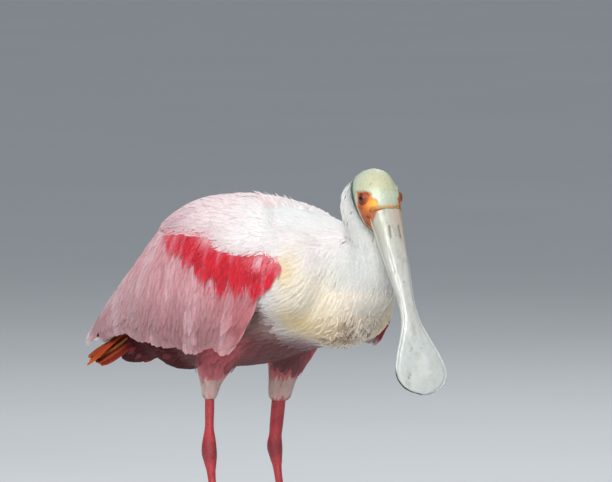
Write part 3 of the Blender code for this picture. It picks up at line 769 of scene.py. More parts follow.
# brown of the curls in patches, also used as painted shade at their roots
CURL_BROWN_AND_ROOT_SHADE = (122, 88, 70)
THIGH_PINK = (212, 104, 112)
THIGH_LIGHT = (222, 140, 146)
HIPS = ((12, -50, 212), (32, 50, 212))  # where the thighs' pink runs up into the flanks
HIP_SIZE = (30, 19, 23)
CUFF = (226, 194, 184)
LEG_RED = (174, 50, 58)
LEG_DARK = (150, 28, 40)
ANKLE_RED = (120, 34, 44)
FOOT_RED = (138, 44, 52)
SOLE_BROWN = (96, 60, 58)


def tinted(count, colour):
    return np.tile(np.asarray(colour, float), (count, 1))


def layered(colour, *layers):
    """The colour with each layer's own laid over it, by that layer's share."""
    for paint, share in layers:
        colour = colour + (np.asarray(paint, float) - colour) * np.clip(share, 0, 1)[:, None]
    return colour


def body_colours(p):
    """The markings of skin and coat on trunk, neck, thighs and undertail, alike on both sides, with painted
    shade darkening flanks, belly and undertail.
    """
    forward, _, up = p.T
    breast = ramp(forward, 88, 112) * ramp(up, 305, 285) * ramp(up, 214, 232)
    vent = ramp(forward, -42, -64) * ramp(up, 252, 238)
    even = mirrored(p)
    return layered(
        tinted(len(p), MANTLE),
        (BREAST_BUFF, breast * 0.85 * (0.8 + 0.2 * waves(p, 18, 21))),
        *[(paint, blob(even, place, size) * strength) for paint, place, size, strength in BREAST_MARKS],
        (NECK_GREY, ramp(forward, 124, 146) * ramp(up, 250, 296)),
        (NAPE_WHITE, ramp(forward, 146, 132) * ramp(up, 318, 336)),
        # painted shade: the flanks darker lower down, below the wing
        (SHADED_FLANK, ramp(up, 276, 250) * ramp(forward, 86, 66)),
        # painted shade: the belly's pink darker low under the body
        (SHADED_BELLY_PINK, ramp(up, 238, 216) * ramp(forward, 124, 92)),
        *[(THIGH_PINK, blob(p, place, HIP_SIZE) * 1.3) for place in HIPS],
        (RUMP_PINK, ramp(forward, -60, -95) * 0.8),
        # the undertail's red, darkened with painted shade
        (SHADED_CRIMSON, vent),
        (VENT_PINK, vent * ramp(waves(p, 11, 22), 0.6, 1.0) * 0.4),
    )


def thigh_colours(p):
    up = p[:, 2]
    return layered(
        tinted(len(p), THIGH_PINK),
        (THIGH_LIGHT, ramp(waves(p, 9, 31), 0.0, 1.0) * 0.5),
        (CUFF, ramp(up, 190, 184) * ramp(up, 164, 170) * 0.9),
    )


def leg_colours(p):
    up = p[:, 2]
    return layered(
        tinted(len(p), LEG_RED),
        (LEG_DARK, ramp(waves(p, 6, 41), 0.1, 1.0) * 0.6),
        (ANKLE_RED, ramp(up, 134, 124) * ramp(up, 108, 118) * 0.6),
        (FOOT_RED, ramp(up, 26, 8) * 0.7),
        (SOLE_BROWN, ramp(up, 1.5, 0.2) * 0.5),
    )


# Feathers.

Vanes = namedtuple("Vanes", "form colours maps normals lots")

# Round a feather's section: across from edge to edge, and which side of the vane it is on.
NARROW = ((1, 0), (0, 1), (-1, 0), (0, -1))
BROAD = ((1, 0), (0.5, 1), (0, 1), (-0.5, 1), (-1, 0), (0, -1))
BAKE_PATCH = 0.003  # the size of a feather's patch on the bake's map
SOFT_ROUND = 0.22  # how much a vane's shading rounds towards its edges
LOTS = np.random.default_rng(5)


def with_tip(rings, tip):
    """Values by feather, step and place round the ring, and after them the tip's."""
    return np.concatenate([rings.reshape(len(rings), -1, rings.shape[-1]), tip[:, None]], 1)


def vane_faces(steps, size):
    """The faces of one closed feather: quads along it, then triangles over its tip and its root."""
    k = np.arange(size)
    last = (steps - 1) * size
    tip = np.stack([last + k, last + (k + 1) % size, np.full(size, steps * size)], -1)
    root = np.stack([np.zeros(size - 2, int), np.arange(2, size), np.arange(1, size - 1)], -1)
    return grid_faces(steps, size, True), np.concatenate([tip, root])


def vane_normals(ring, side, ups, faces):
    """Normals by corner that make flat vanes look rounded, for their quads and then their triangles."""
    across, facing = np.array(ring, float).T
    size, steps = len(ring), side.shape[1]
    rounding = with_tip(side[:, :, None] * (across * SOFT_ROUND)[:, None], 0 * side[:, -1])
    level = with_tip(np.repeat(ups, size, axis=1), ups[:, -1])
    sign = np.where(facing + np.roll(facing, -1) > 0, 1.0, -1.0)
    signs = np.tile(sign, steps - 1), np.concatenate([sign, np.ones(size - 2)])
    normals = [
        (level[:, corners] * up[:, None, None] + rounding[:, corners]).reshape(-1, 3)
        for corners, up in zip(faces, signs)
    ]
    return unit(np.concatenate(normals))


def vanes(lines, ups, wide, thick, camber, colours, roots, ring=NARROW):
    """Closed thin feathers along centre lines.

    lines, ups and colours are by feather and step; wide is half the width at each step. roots are
    places on the unwrapped skin, where each feather gets its own small patch of the bake's map.
    """
    count, steps, _ = lines.shape
    size = len(ring)
    across, facing = np.array(ring, float).T
    ahead = unit(np.gradient(lines, axis=1))
    side = unit(np.cross(ups, ahead))
    ups = np.cross(ahead, side)
    half = wide[..., None]
    offset = -camber * half * across**2 + thick[..., None] * 0.5 * facing * (1 - 0.35 * across**2)
    rings = lines[:, :, None] + side[:, :, None] * (half * across)[..., None]
    rings = rings + ups[:, :, None] * offset[..., None]
    tips = lines[:, -1] + ahead[:, -1] * wide[:, -1:] * 0.5
    quads, triangles = vane_faces(steps, size)
    block = steps * size + 1
    shift = (np.arange(count) * block)[:, None, None]
    points = with_tip(rings, tips).reshape(-1, 3)
    form = Form(points, (quads + shift).reshape(-1, 4), (triangles + shift).reshape(-1, 3))

    along = np.repeat(np.linspace(0, 1, steps), size)
    vane = np.stack([np.tile((across + 1) / 2, steps), along * 0.98], -1)
    vane = np.concatenate([vane, [[0.5, 1.0]]])
    patch = roots[:, None] + (vane - 0.5) * BAKE_PATCH
    maps = {"Vane": np.tile(vane, (count, 1)), "OFBake": patch.reshape(-1, 2)}
    paint = with_tip(np.repeat(colours, size, axis=1), colours[:, -1]).reshape(-1, 3)
    lots = np.repeat(LOTS.uniform(0, 1, count), block)
    return Vanes(form, paint, maps, vane_normals(ring, side, ups, (quads, triangles)), lots)


def bundled(groups):
    """Groups of feathers as one."""
    maps = {key: np.concatenate([g.maps[key] for g in groups]) for key in groups[0].maps}
    colours = np.concatenate([g.colours for g in groups])
    lots = np.concatenate([g.lots for g in groups])
    corners = [4 * len(g.form.quads) for g in groups]
    normals = [g.normals[:c] for g, c in zip(groups, corners)]
    normals += [g.normals[c:] for g, c in zip(groups, corners)]
    return Vanes(joined([g.form for g in groups]), colours, maps, np.concatenate(normals), lots)


class Ground:
    """The skin as a surface that feathers grow from and lie along."""

    def __init__(self, form):
        self.form = form
        p, q = form.points, form.quads
        self.tree = BVHTree.FromPolygons(p.tolist(), q.tolist())
        normal = unit(np.cross(p[q[:, 2]] - p[q[:, 0]], p[q[:, 3]] - p[q[:, 1]]))
        for _ in range(4):
            smooth = np.zeros_like(p)
            for k in range(4):
                np.add.at(smooth, q[:, k], normal)
            normal = unit(smooth[q].mean(1))
        self.normal = normal
        self.flow = self.eased(lie(p[q].mean(1), normal), 16)

    def eased(self, headings, rounds):
        """Headings of the faces, evened out over their neighbours and kept along the skin."""
        quads = self.form.quads
        for _ in range(rounds):
            corner = np.repeat(headings, 4, axis=0)
            total = np.stack([np.bincount(quads.ravel(), corner[:, k]) for k in range(3)], -1)
            headings = along_surface(total[quads].mean(1), self.normal)
        return headings

    def nearest(self, places):
        """The nearest places on the skin and the faces they lie on."""
        found = [self.tree.find_nearest(place) for place in places]
        return np.array([f[0] for f in found]), np.array([f[2] for f in found])

    def strewn(self, rng, each):
        """Places all over the skin, a few on each of its faces, and the faces' numbers."""
        corner = self.form.points[self.form.quads]
        found = []
        for _ in range(each):
            a, b = rng.uniform(0, 1, (2, len(corner), 1))
            low = corner[:, 0] * (1 - a) + corner[:, 1] * a
            high = corner[:, 3] * (1 - a) + corner[:, 2] * a
            found.append(low * (1 - b) + high * b)
        return np.concatenate(found), np.tile(np.arange(len(corner)), each)

    def trail(self, roots, faces, length, stray, heights):
        """Centre lines from the roots along the skin, at the given heights over it."""
        steps = heights.shape[1]
        places, ups = [roots], [self.normal[faces]]
        p = roots
        pace = (length / (steps - 1))[:, None]
        for _ in range(steps - 1):
            heading, n = self.flow[faces], self.normal[faces]
            heading = heading * np.cos(stray)[:, None] + np.cross(n, heading) * np.sin(stray)[:, None]
            p, faces = self.nearest(p + heading * pace)
            places.append(p)
            ups.append(self.normal[faces])
        places, ups = np.stack(places, 1), np.stack(ups, 1)
        return places + ups * heights[..., None], ups


def along_surface(headings, normals):
    return unit(headings - normals * (headings * normals).sum(-1, keepdims=True))


def spread(places, spacing, rng):
    """The numbers of places that stay when none is nearer to another than its spacing."""
    cell = spacing.max()
    around = [(a, b, c) for a in (-1, 0, 1) for b in (-1, 0, 1) for c in (-1, 0, 1)]
    taken = {}
    kept = []
    for i in rng.permutation(len(places)):
        p = places[i]
        x, y, z = (int(v // cell) for v in p)
        limit = spacing[i] ** 2
        near = (q for a, b, c in around for q in taken.get((x + a, y + b, z + c), ()))
        if all((p[0] - q[0]) ** 2 + (p[1] - q[1]) ** 2 + (p[2] - q[2]) ** 2 >= limit for q in near):
            taken.setdefault((x, y, z), []).append(p)
            kept.append(i)
    return np.array(kept, int)


def lie(places, normals):
    """Which way the body's feathers point."""
    forward, left, up = places.T
    heading = np.tile([-1.0, 0.0, -0.22], (len(places), 1))
    heading += ramp(forward, 96, 146)[:, None] * np.array([0.55, 0, -1.25])
    heading[:, 1] += 0.35 * ramp(forward, 80, 140) * np.sign(left) * ramp(np.abs(left), 0, 18)
    column = (ramp(forward, 126, 142) * ramp(up, 278, 296))[:, None]
    heading = heading * (1 - column) + column * np.array([0.25, 0, -1.0])
    nape = ramp(up, 322, 345) * (forward > 100)
    heading = heading + nape[:, None] * np.array([-0.6, 0, 0.1])
    heading[on_thigh(places)] = (-0.18, 0, -1.0)
    return along_surface(heading, normals)


def body_unwrap(p):
    """Where a place lies on the body unrolled round its length."""
    turn = np.arctan2(p[:, 1], p[:, 2] - 270) / (2 * math.pi)
    return np.stack([0.5 + turn * 0.96, 0.03 + (p[:, 0] + 210) / 440 * 0.94], -1)


def neck_unwrap(p):
    turn = np.arctan2(p[:, 1], p[:, 0] - 150) / (2 * math.pi)
    return np.stack([0.5 + turn * 0.96, 0.05 + (p[:, 2] - 200) / 190 * 0.9], -1)


# A coat of small feathers. low and high are its heights over the skin at root and tip, tip is the
# tip's share of the width, jitter is how far the feathers stray, and shade how much they differ.
Coat = namedtuple("Coat", "length wide thick camber low high tip steps jitter shade")
NECK_FEATHER = Coat(10.0, 2.8, 0.22, 0.08, 1.4, 2.0, 0.3, 5, 0.10, 0.008)
BREAST_FEATHER = Coat(18.0, 4.6, 0.24, 0.06, 2.7, 3.6, 0.25, 6, 0.08, 0.008)
BODY_FEATHER = Coat(20.0, 7.0, 0.24, 0.06, 2.7, 3.6, 0.4, 6, 0.08, 0.008)
THIGH_FEATHER = Coat(12.0, 3.6, 0.24, 0.08, 1.4, 2.2, 0.3, 5, 0.10, 0.02)
VENT_FEATHER = Coat(22.0, 6.0, 0.4, 0.10, 1.2, 3.0, 0.3, 6, 0.12, 0.06)


def feathered(ground, roots, faces, coat, colours, unwrap, rng, shares, room):
    """Small feathers rooted at places on the skin."""
    count = len(roots)
    share = np.linspace(0, 1, coat.steps)
    length = np.minimum(coat.length * rng.uniform(0.8, 1.2, count), room)
    stray = rng.normal(0, coat.jitter, count)
    rise = (rng.uniform(0.94, 1.06, count) * shares)[:, None]
    heights = (coat.low + (coat.high - coat.low) * share**0.8) * rise
    lines, ups = ground.trail(roots, faces, length, stray, heights)
    outline = np.interp(share, [0, 0.25, 0.6, 0.85, 1], [0.35, 0.85, 1.0, 0.5 + 0.5 * coat.tip, coat.tip])
    wide = coat.wide / 2 * outline * rng.uniform(0.82, 1.18, count)[:, None]
    thick = np.broadcast_to(coat.thick * (1 - 0.6 * share), (count, coat.steps))
    base = colours(lines[:, coat.steps // 2]) * (1 + rng.normal(0, coat.shade, count))[:, None]
    paint = np.repeat(base[:, None], coat.steps, 1)
    return vanes(lines, ups, wide, thick, coat.camber, paint, unwrap(roots))


# Where the wing's own feathers take over from the body's: share, and how far ahead of the front edge.
COVER_FRONT = ([0.3, 0.44, 0.56, 0.68, 0.78], [-24, -4, -4, -3, 5])
COVER_DEPTH = 5.5  # no body feather is rooted nearer to the wing's surface than this
LOWER_FRONT = 0.68  # the share from which the body's feathers end before the wing's front edge
SHORTEST = 7.0
NECK_BORDER = (0.25, 0.75)  # neck and breast feathers mingle where the neckness is between these
CURL_GAP = 2.3
CURL_STEPS = 9


def wing_cover(top_share=0.0):
    """A tree of both wings' outer surfaces, to tell where their own feathers lie."""
    forms = []
    for wing in WINGS:
        share, along = np.meshgrid(np.linspace(top_share, 1, 30), np.linspace(0, 1, 60))
        front = wing.front(share) + np.interp(share, *COVER_FRONT)
        place, _ = wing.point(front + (WING_TIP - front) * along, share)
        forms.append(Form(place.reshape(-1, 3), grid_faces(60, 30, False), np.zeros((0, 3), int)))
    form = joined(forms)
    return BVHTree.FromPolygons(form.points.tolist(), form.quads.tolist())


def distances(tree, places):
    return np.array([tree.find_nearest(p)[3] for p in places])


def on_thigh(p):
    """Which places lie on a thigh below the body."""
    found = np.zeros(len(p), bool)
    for leg in LEGS.values():
        axis = curve([(s[2], s[0], s[1], s[3]) for s in leg["thigh"]], p[:, 2])
        near = np.hypot(p[:, 0] - axis[:, 0], p[:, 1] - axis[:, 1]) < axis[:, 2] + 2
        found |= near & (p[:, 2] < 205)
    return found


def neckness(p):
    """1 on the neck, 0 on the trunk."""
    return ramp(p[:, 0], 124, 140) * ramp(p[:, 2], 264, 290)


def height_shares(p, name):
    """How high feathers stand, as shares of their coat's height: low by the neck, full on the nape."""
    if name == "coat_neck":
        return 1 + 1.1 * ramp(p[:, 2], 318, 338) * ramp(p[:, 0], 152, 140)
    return 1 - 0.5 * ramp(neckness(p), 0.0, 0.5)


def spacing_of(p):
    """How far apart the body's feathers stand: closest on the neck and where the skin bends."""
    forward, _, up = p.T
    neck = neckness(p)
    even = mirrored(p)
    collar = blob(even, (122, 36, 306), (20, 24, 20))
    edge = blob(even, (92, 66, 270), (16, 16, 16))
    mantle = blob(even, (94, 36, 322), (26, 26, 16))
    behind_neck = blob(even, (120, 0, 320), (16, 22, 14))
    trunk = 1.2 * ramp(forward, 70, 120) + 1.3 * collar + edge + 0.9 * mantle * (1 - collar) + behind_neck
    return 4.0 - 2.25 * neck - trunk * (1 - neck) - 0.6 * ramp(forward, -60, -90) - 1.6 * ramp(up, 204, 196)


def body_roots(ground, rng):
    """Where the body's feathers are rooted, and on which faces: not on bare skin or under the wings."""
    places, faces = ground.strewn(rng, 3)
    forward, up, _ = to_head(places)
    bare = (forward > bare_edge(up) + 0.5) & (places[:, 0] > 132) & (places[:, 2] > 300)
    throat = (forward > -30) & (places[:, 2] > 318)
    under_wing = distances(wing_cover(), places) < COVER_DEPTH
    inside = (places[:, 2] < 166) | (places[:, 0] < -146)
    keep = ~(bare | throat | under_wing | inside)
    places, faces = places[keep], faces[keep]
    kept = spread(places, spacing_of(places), rng)
    return places[kept], faces[kept]


def body_coat(ground):
    """The feathers of trunk, neck, thighs and undertail, by piece."""
    rng = np.random.default_rng(7)
    places, faces = body_roots(ground, rng)
    thigh = on_thigh(places)
    neck = (neckness(places) > rng.uniform(*NECK_BORDER, len(places))) & ~thigh
    vent = (places[:, 0] < -80) & ~thigh
    breast = (places[:, 0] > 82) & ~neck & ~thigh
    rest = ~(thigh | neck | vent | breast)
    room = np.maximum(distances(wing_cover(LOWER_FRONT), places) - 2, SHORTEST)
    groups = {}
    for name, where, coat, colours, unwrap in (
        ("coat_neck", neck, NECK_FEATHER, body_colours, neck_unwrap),
        ("coat_breast", breast, BREAST_FEATHER, body_colours, body_unwrap),
        ("coat_body", rest, BODY_FEATHER, body_colours, body_unwrap),
        ("coat_thighs", thigh, THIGH_FEATHER, thigh_colours, body_unwrap),
        ("coat_undertail", vent, VENT_FEATHER, body_colours, body_unwrap),
    ):
        roots = places[where]
        shares = height_shares(roots, name)
        groups[name] = feathered(ground, roots, faces[where], coat, colours, unwrap, rng, shares, room[where])
    groups["coat_curls"] = breast_curls(ground)
    return groups


def curl_roots(ground, rng):
    """Where the breast's curls are rooted, on which faces, and how full the curls are there."""
    places, faces = ground.strewn(rng, 1)
    forward, left, up = places.T
    keep = (forward > 120) & (up > 214 + 0.2 * np.abs(left)) & (ground.normal[faces][:, 0] > 0.25)
    places, faces = places[keep], faces[keep]
    kept = spread(places, np.full(len(places), CURL_GAP), rng)
    places, faces = places[kept], faces[kept]
    fullness = ramp(places[:, 2], 264, 238) * ramp(np.abs(places[:, 1] - 5), 42, 22)
    kept = rng.uniform(0, 1, len(places)) < fullness
    return places[kept], faces[kept], fullness[kept]


def breast_curls(ground):
    """Loose curled locks low on the breast, brown in patches and creamy at the tip, with painted shade
    darkening them towards the root.
    """
    rng = np.random.default_rng(23)
    places, faces, fullness = curl_roots(ground, rng)
    count = len(places)
    t = np.linspace(0, 1, CURL_STEPS)
    heights = np.tile(2.8 + 2.0 * np.sin(t * 2.3), (count, 1)) * rng.uniform(0.85, 1.15, (count, 1))
    lines, ups = ground.trail(places, faces, rng.uniform(8, 14, count), rng.normal(0, 0.4, count), heights)
    heading = unit(np.gradient(lines, axis=1))
    curl = rng.choice([-1, 1], count) * rng.uniform(1.5, 4.0, count)
    lines = lines + np.cross(ups, heading) * (curl[:, None] * t**2.5)[..., None]
    lines = lines - heading * (rng.uniform(1.0, 4.0, count)[:, None] * t**4)[..., None]
    wide = 0.75 * np.interp(t, [0, 0.3, 0.7, 1], [0.6, 1, 0.8, 0.3]) * rng.uniform(0.7, 1.4, (count, 1))
    thick = np.broadcast_to(0.4 * (1 - 0.4 * t), (count, CURL_STEPS))
    base = layered(
        body_colours(places),
        (CURL_CREAM, np.full(count, 0.7)),
        (CURL_BROWN_AND_ROOT_SHADE, ramp(waves(places, 9, 24), 0.1, 0.9) * 0.65 * fullness),
    )[:, None]
    # painted shade: each curl darkened towards its root, where it meets the breast
    dark = fullness[:, None, None] * (ramp(t, 0.5, 0.05) * 0.6)[:, None]
    paint = base + (np.array(CURL_BROWN_AND_ROOT_SHADE) - base) * dark
    return vanes(lines, ups, wide, thick, 0.2, paint, body_unwrap(places))


# Wing feathers.

def wing_lie(forward, share):
    """The feathers' angle from straight down the wing towards the rear."""
    angle = 12 + 70 * ramp(share, 0.42, 0.08)
    angle = angle + 36 * ramp(forward, -30, -110) * ramp(share, 0.0, 0.5)
    angle = angle + 34 * ramp(forward, 5, 60) * ramp(share, 0.62, 0.95)
    return np.radians(np.minimum(angle, 88))


def cape_lie(forward, share):
    """The cape's feathers point mostly backwards."""
    return np.radians(80 - 26 * ramp(forward, 30, 85) - 4 * ramp(share, 0.1, 0.4))


# Outlines of feathers: share of the length, and share of the width there.
ROUND_TIP = ([0, 0.1, 0.5, 0.8, 0.92, 1], [0.3, 0.6, 1, 0.96, 0.78, 0.42])
SOFT_TIP = ([0, 0.15, 0.5, 0.75, 0.9, 1], [0.35, 0.75, 1, 0.85, 0.5, 0.14])
POINTED = ([0, 0.2, 0.5, 0.8, 1], [0.5, 1, 0.85, 0.45, 0.08])

# A kind of wing feather. low and high are its heights over the wing's surface at root and tip, stray
# is how far the feathers turn from their lie, shade how much they differ, and sink how deep their
# roots go in at the wing's front.
Kind = namedtuple(
    "Kind",
    "length wide outline low high steps thick camber stray shade ring lie sink",
    defaults=(0.05, 0.05, 0.02, BROAD, wing_lie, 3.4),
)
FLIGHT = Kind(78, 20, ROUND_TIP, -2.6, -1.4, 11, 0.5)
PRIMARY = Kind(105, 15, ROUND_TIP, -2.8, -1.2, 13, 0.5)
COVERT = Kind(50, 13, SOFT_TIP, -2.2, -0.7, 9, 0.35)
WING_END = Kind(22, 9.0, SOFT_TIP, -1.4, 0.2, 9, 0.35, stray=0.12)
PLUME = Kind(None, None, POINTED, -2.2, 0.7, 7, 0.4, 0.1, 0.12, 0.05, NARROW, sink=0.6)
CAPE = Kind(36, 12.0, SOFT_TIP, -1.6, 0.4, 8, 0.3, 0.06, 0.05, 0.006, BROAD, cape_lie)
CAPE_FRINGE = Kind(24, 4.2, POINTED, -0.6, 0.8, 7, 0.3, 0.06, 0.12, 0.008, NARROW, cape_lie)
CAPE_SPIKE = Kind(18, 2.6, POINTED, -0.5, 2.6, 7, 0.3, 0.06, 0.15, 0.008, NARROW, cape_lie)
CAPE_END = Kind(46, 10.0, SOFT_TIP, -0.8, 1.0, 8, 0.3, 0.06, 0.03, 0.006, BROAD, cape_lie)

SINK_SHARES = ([0.3, 0.44, 0.58, 0.7], [1.9, 1, 1, 0.2])  # how deep the front is tucked in, by share
FRONT_ROOM = 4.0  # how far ahead of the wing's front edge its feathers may be rooted
LOBE = 0.02  # how unevenly the wing's lower edge hangs


def wing_lines(wing, tips, length, kind, turn):
    """Centre lines on the wing that end at the given tips, as wing coordinates from root to tip."""
    forward, share = tips.T.copy()
    path = [(forward, share)]
    pace = length / (kind.steps - 1)
    for _ in range(kind.steps - 1):
        angle = kind.lie(forward, share) + turn
        _, down = wing.outward(forward, share)
        forward = forward + np.sin(angle) * pace
        share = np.maximum(share - np.cos(angle) * pace / np.linalg.norm(down, axis=-1), 0.004)
        path.append((forward, share))
    return np.stack(path[::-1], -1)


def wing_unwrap(forward, share):
    return np.stack([0.04 + (forward + 210) / 330 * 0.92, 0.04 + share * 0.85], -1)


def wing_group(wing, tips, kind, colours, rng):
    """Feathers of a kind whose tips are at the given wing coordinates."""
    tips = np.asarray(tips, float)
    count, steps = len(tips), kind.steps
    turn = rng.normal(0, kind.stray, count)
    length = np.broadcast_to(kind.length, (count,)) * rng.uniform(0.93, 1.07, count)
    forward, share = wing_lines(wing, tips, length, kind, turn)
    beyond = forward > wing.front(share) + FRONT_ROOM
    hidden = np.cumsum(beyond[:, ::-1], 1).astype(bool).sum(1)
    cut = np.clip(1 - hidden / steps, 0.25, 1)
    forward, share = wing_lines(wing, tips, length * cut, kind, turn)
    sunk = kind.sink * ramp(forward - wing.front(share), -16, 2) * np.interp(share, *SINK_SHARES)
    place, droop = wing.point(forward, share)
    outward, _ = wing.outward(forward, share)
    t = np.linspace(0, 1, steps)
    lift = kind.low + (kind.high - kind.low) * t**1.2 + rng.uniform(-0.25, 0.25, count)[:, None]
    lines = place + outward * (lift - sunk)[..., None]
    wide = np.broadcast_to(kind.wide * np.maximum(cut, 0.35), (count,))[:, None]
    wide = wide / 2 * np.interp(t, *kind.outline) * rng.uniform(0.92, 1.08, count)[:, None]
    level = np.stack([forward, np.abs(place[..., 1]), place[..., 2] + droop], -1)
    paint = colours(level.reshape(-1, 3), np.tile(t, count)).reshape(count, steps, 3)
    paint = paint * (1 + rng.normal(0, kind.shade, count))[:, None, None]
    thick = np.broadcast_to(kind.thick * (1 - 0.55 * t), (count, steps))
    roots = wing_unwrap(forward[:, 0], share[:, 0])
    return vanes(lines, outward, wide, thick, kind.camber, paint, roots, kind.ring)


# Heights on the wing, by how far forward: the cape's lower edge, and how low the red plumes reach.
CAPE_EDGE = (
    [-66, -47, -27, 13, 20, 26, 40, 62, 88, 100],
    [322, 317, 319, 319, 312, 309, 306, 304, 307, 307],
)
RED_EDGE = (
    [-60, -42, -24, -6, 8, 27, 41, 61, 76, 88, 97, 104],
    [312, 307, 302, 296, 285, 279, 273, 273, 267, 267, 275, 288],
)
CAPE_CREASE = ([300, 315, 330, 343, 350], [90, 84, 74, 54, 24])  # height, and how far forward it runs

COVERT_PINK = (206, 139, 147)
# lilac grey of the lower wing, partly the coverts' own tone and partly painted shade
SHADED_COVERT_LILAC = (142, 92, 97)
COVERT_ROSE = (184, 92, 99)
COVERT_REAR = (198, 140, 152)
COVERT_LIGHT = (226, 182, 190)
COVERT_STREAK = (200, 108, 122)
REAR_ROSE = (208, 100, 118)
TIP_PALE = (236, 214, 214)
DROOP_WHITE = (206, 190, 188)
DROOP_CRIMSON = (150, 24, 44)
CAPE_PINK = (226, 200, 204)
CAPE_LIGHT = (234, 222, 223)
CAPE_SHADE = (188, 144, 155)
CAPE_EDGE_PINK = (232, 176, 186)
CREASE_PINK = (226, 172, 180)
PLUME_RED = (220, 24, 44)
PLUME_DARK = (168, 8, 28)
PLUME_LIGHT = (226, 104, 118)
# pale pink of the plumes' rear end, also used for two patches of painted highlight
PLUME_PALE_AND_HIGHLIGHT = (238, 184, 190)
# Where the plumes are reddest: forward, up, and the size each way.
RED_HEARTS = ((-8, 308, 11, 14), (9, 288, 10, 16), (32, 283, 10, 18), (50, 288, 9, 14), (76, 281, 18, 17))


def right_covert_colours(p, t):
    """Pink of the lower wing, greyer and more lilac lower down, in part with painted shade."""
    forward, _, up = p.T
    return layered(
        tinted(len(p), COVERT_PINK),
        # darker lilac lower down the wing, partly painted shade
        (SHADED_COVERT_LILAC, ramp(up, 268, 226) * 0.75),
        (COVERT_ROSE, ramp(forward, 14, 56) * ramp(up, 276, 256) * 0.65),
        (COVERT_REAR, ramp(forward, -60, -130) * 0.6),
        (COVERT_LIGHT, ramp(waves(p * (1, 0, 0.6), 13, 51), 0.2, 1.0) * 0.5),
        (COVERT_STREAK, ramp(waves(p * (1, 0, 0.35), 9, 52), 0.5, 1.1) * 0.35),
        (REAR_ROSE, ramp(forward, -70, -100) * ramp(up, 262, 300) * 0.5),
        (TIP_PALE, ramp(forward, -176, -196)),
    )


def left_covert_colours(p, t):
    """As the other wing's, with crimson and white where the left wing's front droops."""
    forward, _, up = p.T
    return layered(
        right_covert_colours(p, t),
        (DROOP_WHITE, ramp(forward, 66, 84) * ramp(up, 262, 256) * 0.8),
        (DROOP_CRIMSON, ramp(forward, 80, 92) * ramp(up, 257, 262)),
    )


def left_cape_colours(p, t):
    """White with a breath of pink, pinker towards the rear and at the tips of the lowest feathers."""
    forward, _, up = p.T
    edge = ramp(up - np.interp(forward, *CAPE_EDGE), 7, 0)
    return layered(
        tinted(len(p), CAPE_PINK),
        (CAPE_LIGHT, ramp(forward, -30, 45) * 0.85),
        (CAPE_SHADE, ramp(forward, -10, -56) * ramp(up, 349, 328) * 0.85),
        (MANTLE, ramp(forward, 30, 60)),
        (CAPE_EDGE_PINK, edge * 0.4 * ramp(t, 0.7, 1)),
    )


def right_cape_colours(p, t):
    """As the other wing's, with a faint pink crease before its front edge."""
    crease = np.interp(p[:, 2], *CAPE_CREASE)
    return layered(left_cape_colours(p, t), (CREASE_PINK, bell(p[:, 0] - crease, 3.0) * 0.5))


def plume_colours(p, t):
    """Red hair-like plumes, paler where they start, with two patches of pale streaks painted as highlights.
    """
    forward = p[:, 0]
    flat = p * (1, 0, 1)
    rich = sum(blob(flat, (f, 0, u), (wide, 1, tall)) for f, u, wide, tall in RED_HEARTS)
    streak = waves(p * (1, 0, 0.12), 3.6, 61)
    return layered(
        tinted(len(p), PLUME_LIGHT),
        (PLUME_RED, rich * 1.25 + 0.2 + 0.55 * streak),
        # painted highlights: pale streaks in two patches on the red plumes
        (PLUME_PALE_AND_HIGHLIGHT, blob(flat, (15, 0, 315), (15, 1, 8)) * ramp(streak, -0.9, 0.3)),
        (PLUME_PALE_AND_HIGHLIGHT, blob(flat, (86, 0, 297), (16, 1, 9)) * ramp(streak, -0.4, 0.5)),
        (PLUME_PALE_AND_HIGHLIGHT, ramp(forward, -34, -50) * 0.4),
        (PLUME_DARK, ramp(waves(p, 8, 63), 0.3, 1.0) * 0.35 * np.clip(rich, 0, 1)),
    )


COVERT_COLOURS = {"right": right_covert_colours, "left": left_covert_colours}
CAPE_COLOURS = {"right": right_cape_colours, "left": left_cape_colours}


# How many feathers there are, and where their rows run as shares of the wing.
FLIGHT_SHARES = (0.995, 0.965, 0.935, 0.905)
FLIGHT_REAR = -172
COVERT_SHARES = np.linspace(0.875, 0.28, 17)
END_COUNT = 44
PLUME_COUNT = 3100
CAPE_ROWS = 19
CAPE_GAP = 9.0
FRINGE_COUNT = 330
SPIKE_COUNT = 15


def rows_of_tips(wing, rows, gap, rng, front_room, stagger, jitter):
    """Tips in rows along the wing. rows are each row's share and how far back it reaches."""
    tips = []
    for row, (share, rear) in enumerate(rows):
        front = wing.front(np.array([share]))[0] - front_room
        count = max(int((front - rear) / gap), 1)
        spots = front - (np.arange(count) + stagger * (row % 2) + rng.uniform(-jitter, jitter, count)) * gap
        lobes = share + LOBE * waves(np.stack([spots, 0 * spots], -1), 14, 72) * ramp(share, 0.6, 0.9)
        tips.append(np.stack([spots, lobes + rng.uniform(-0.01, 0.01, count)], -1))
    return np.concatenate(tips)


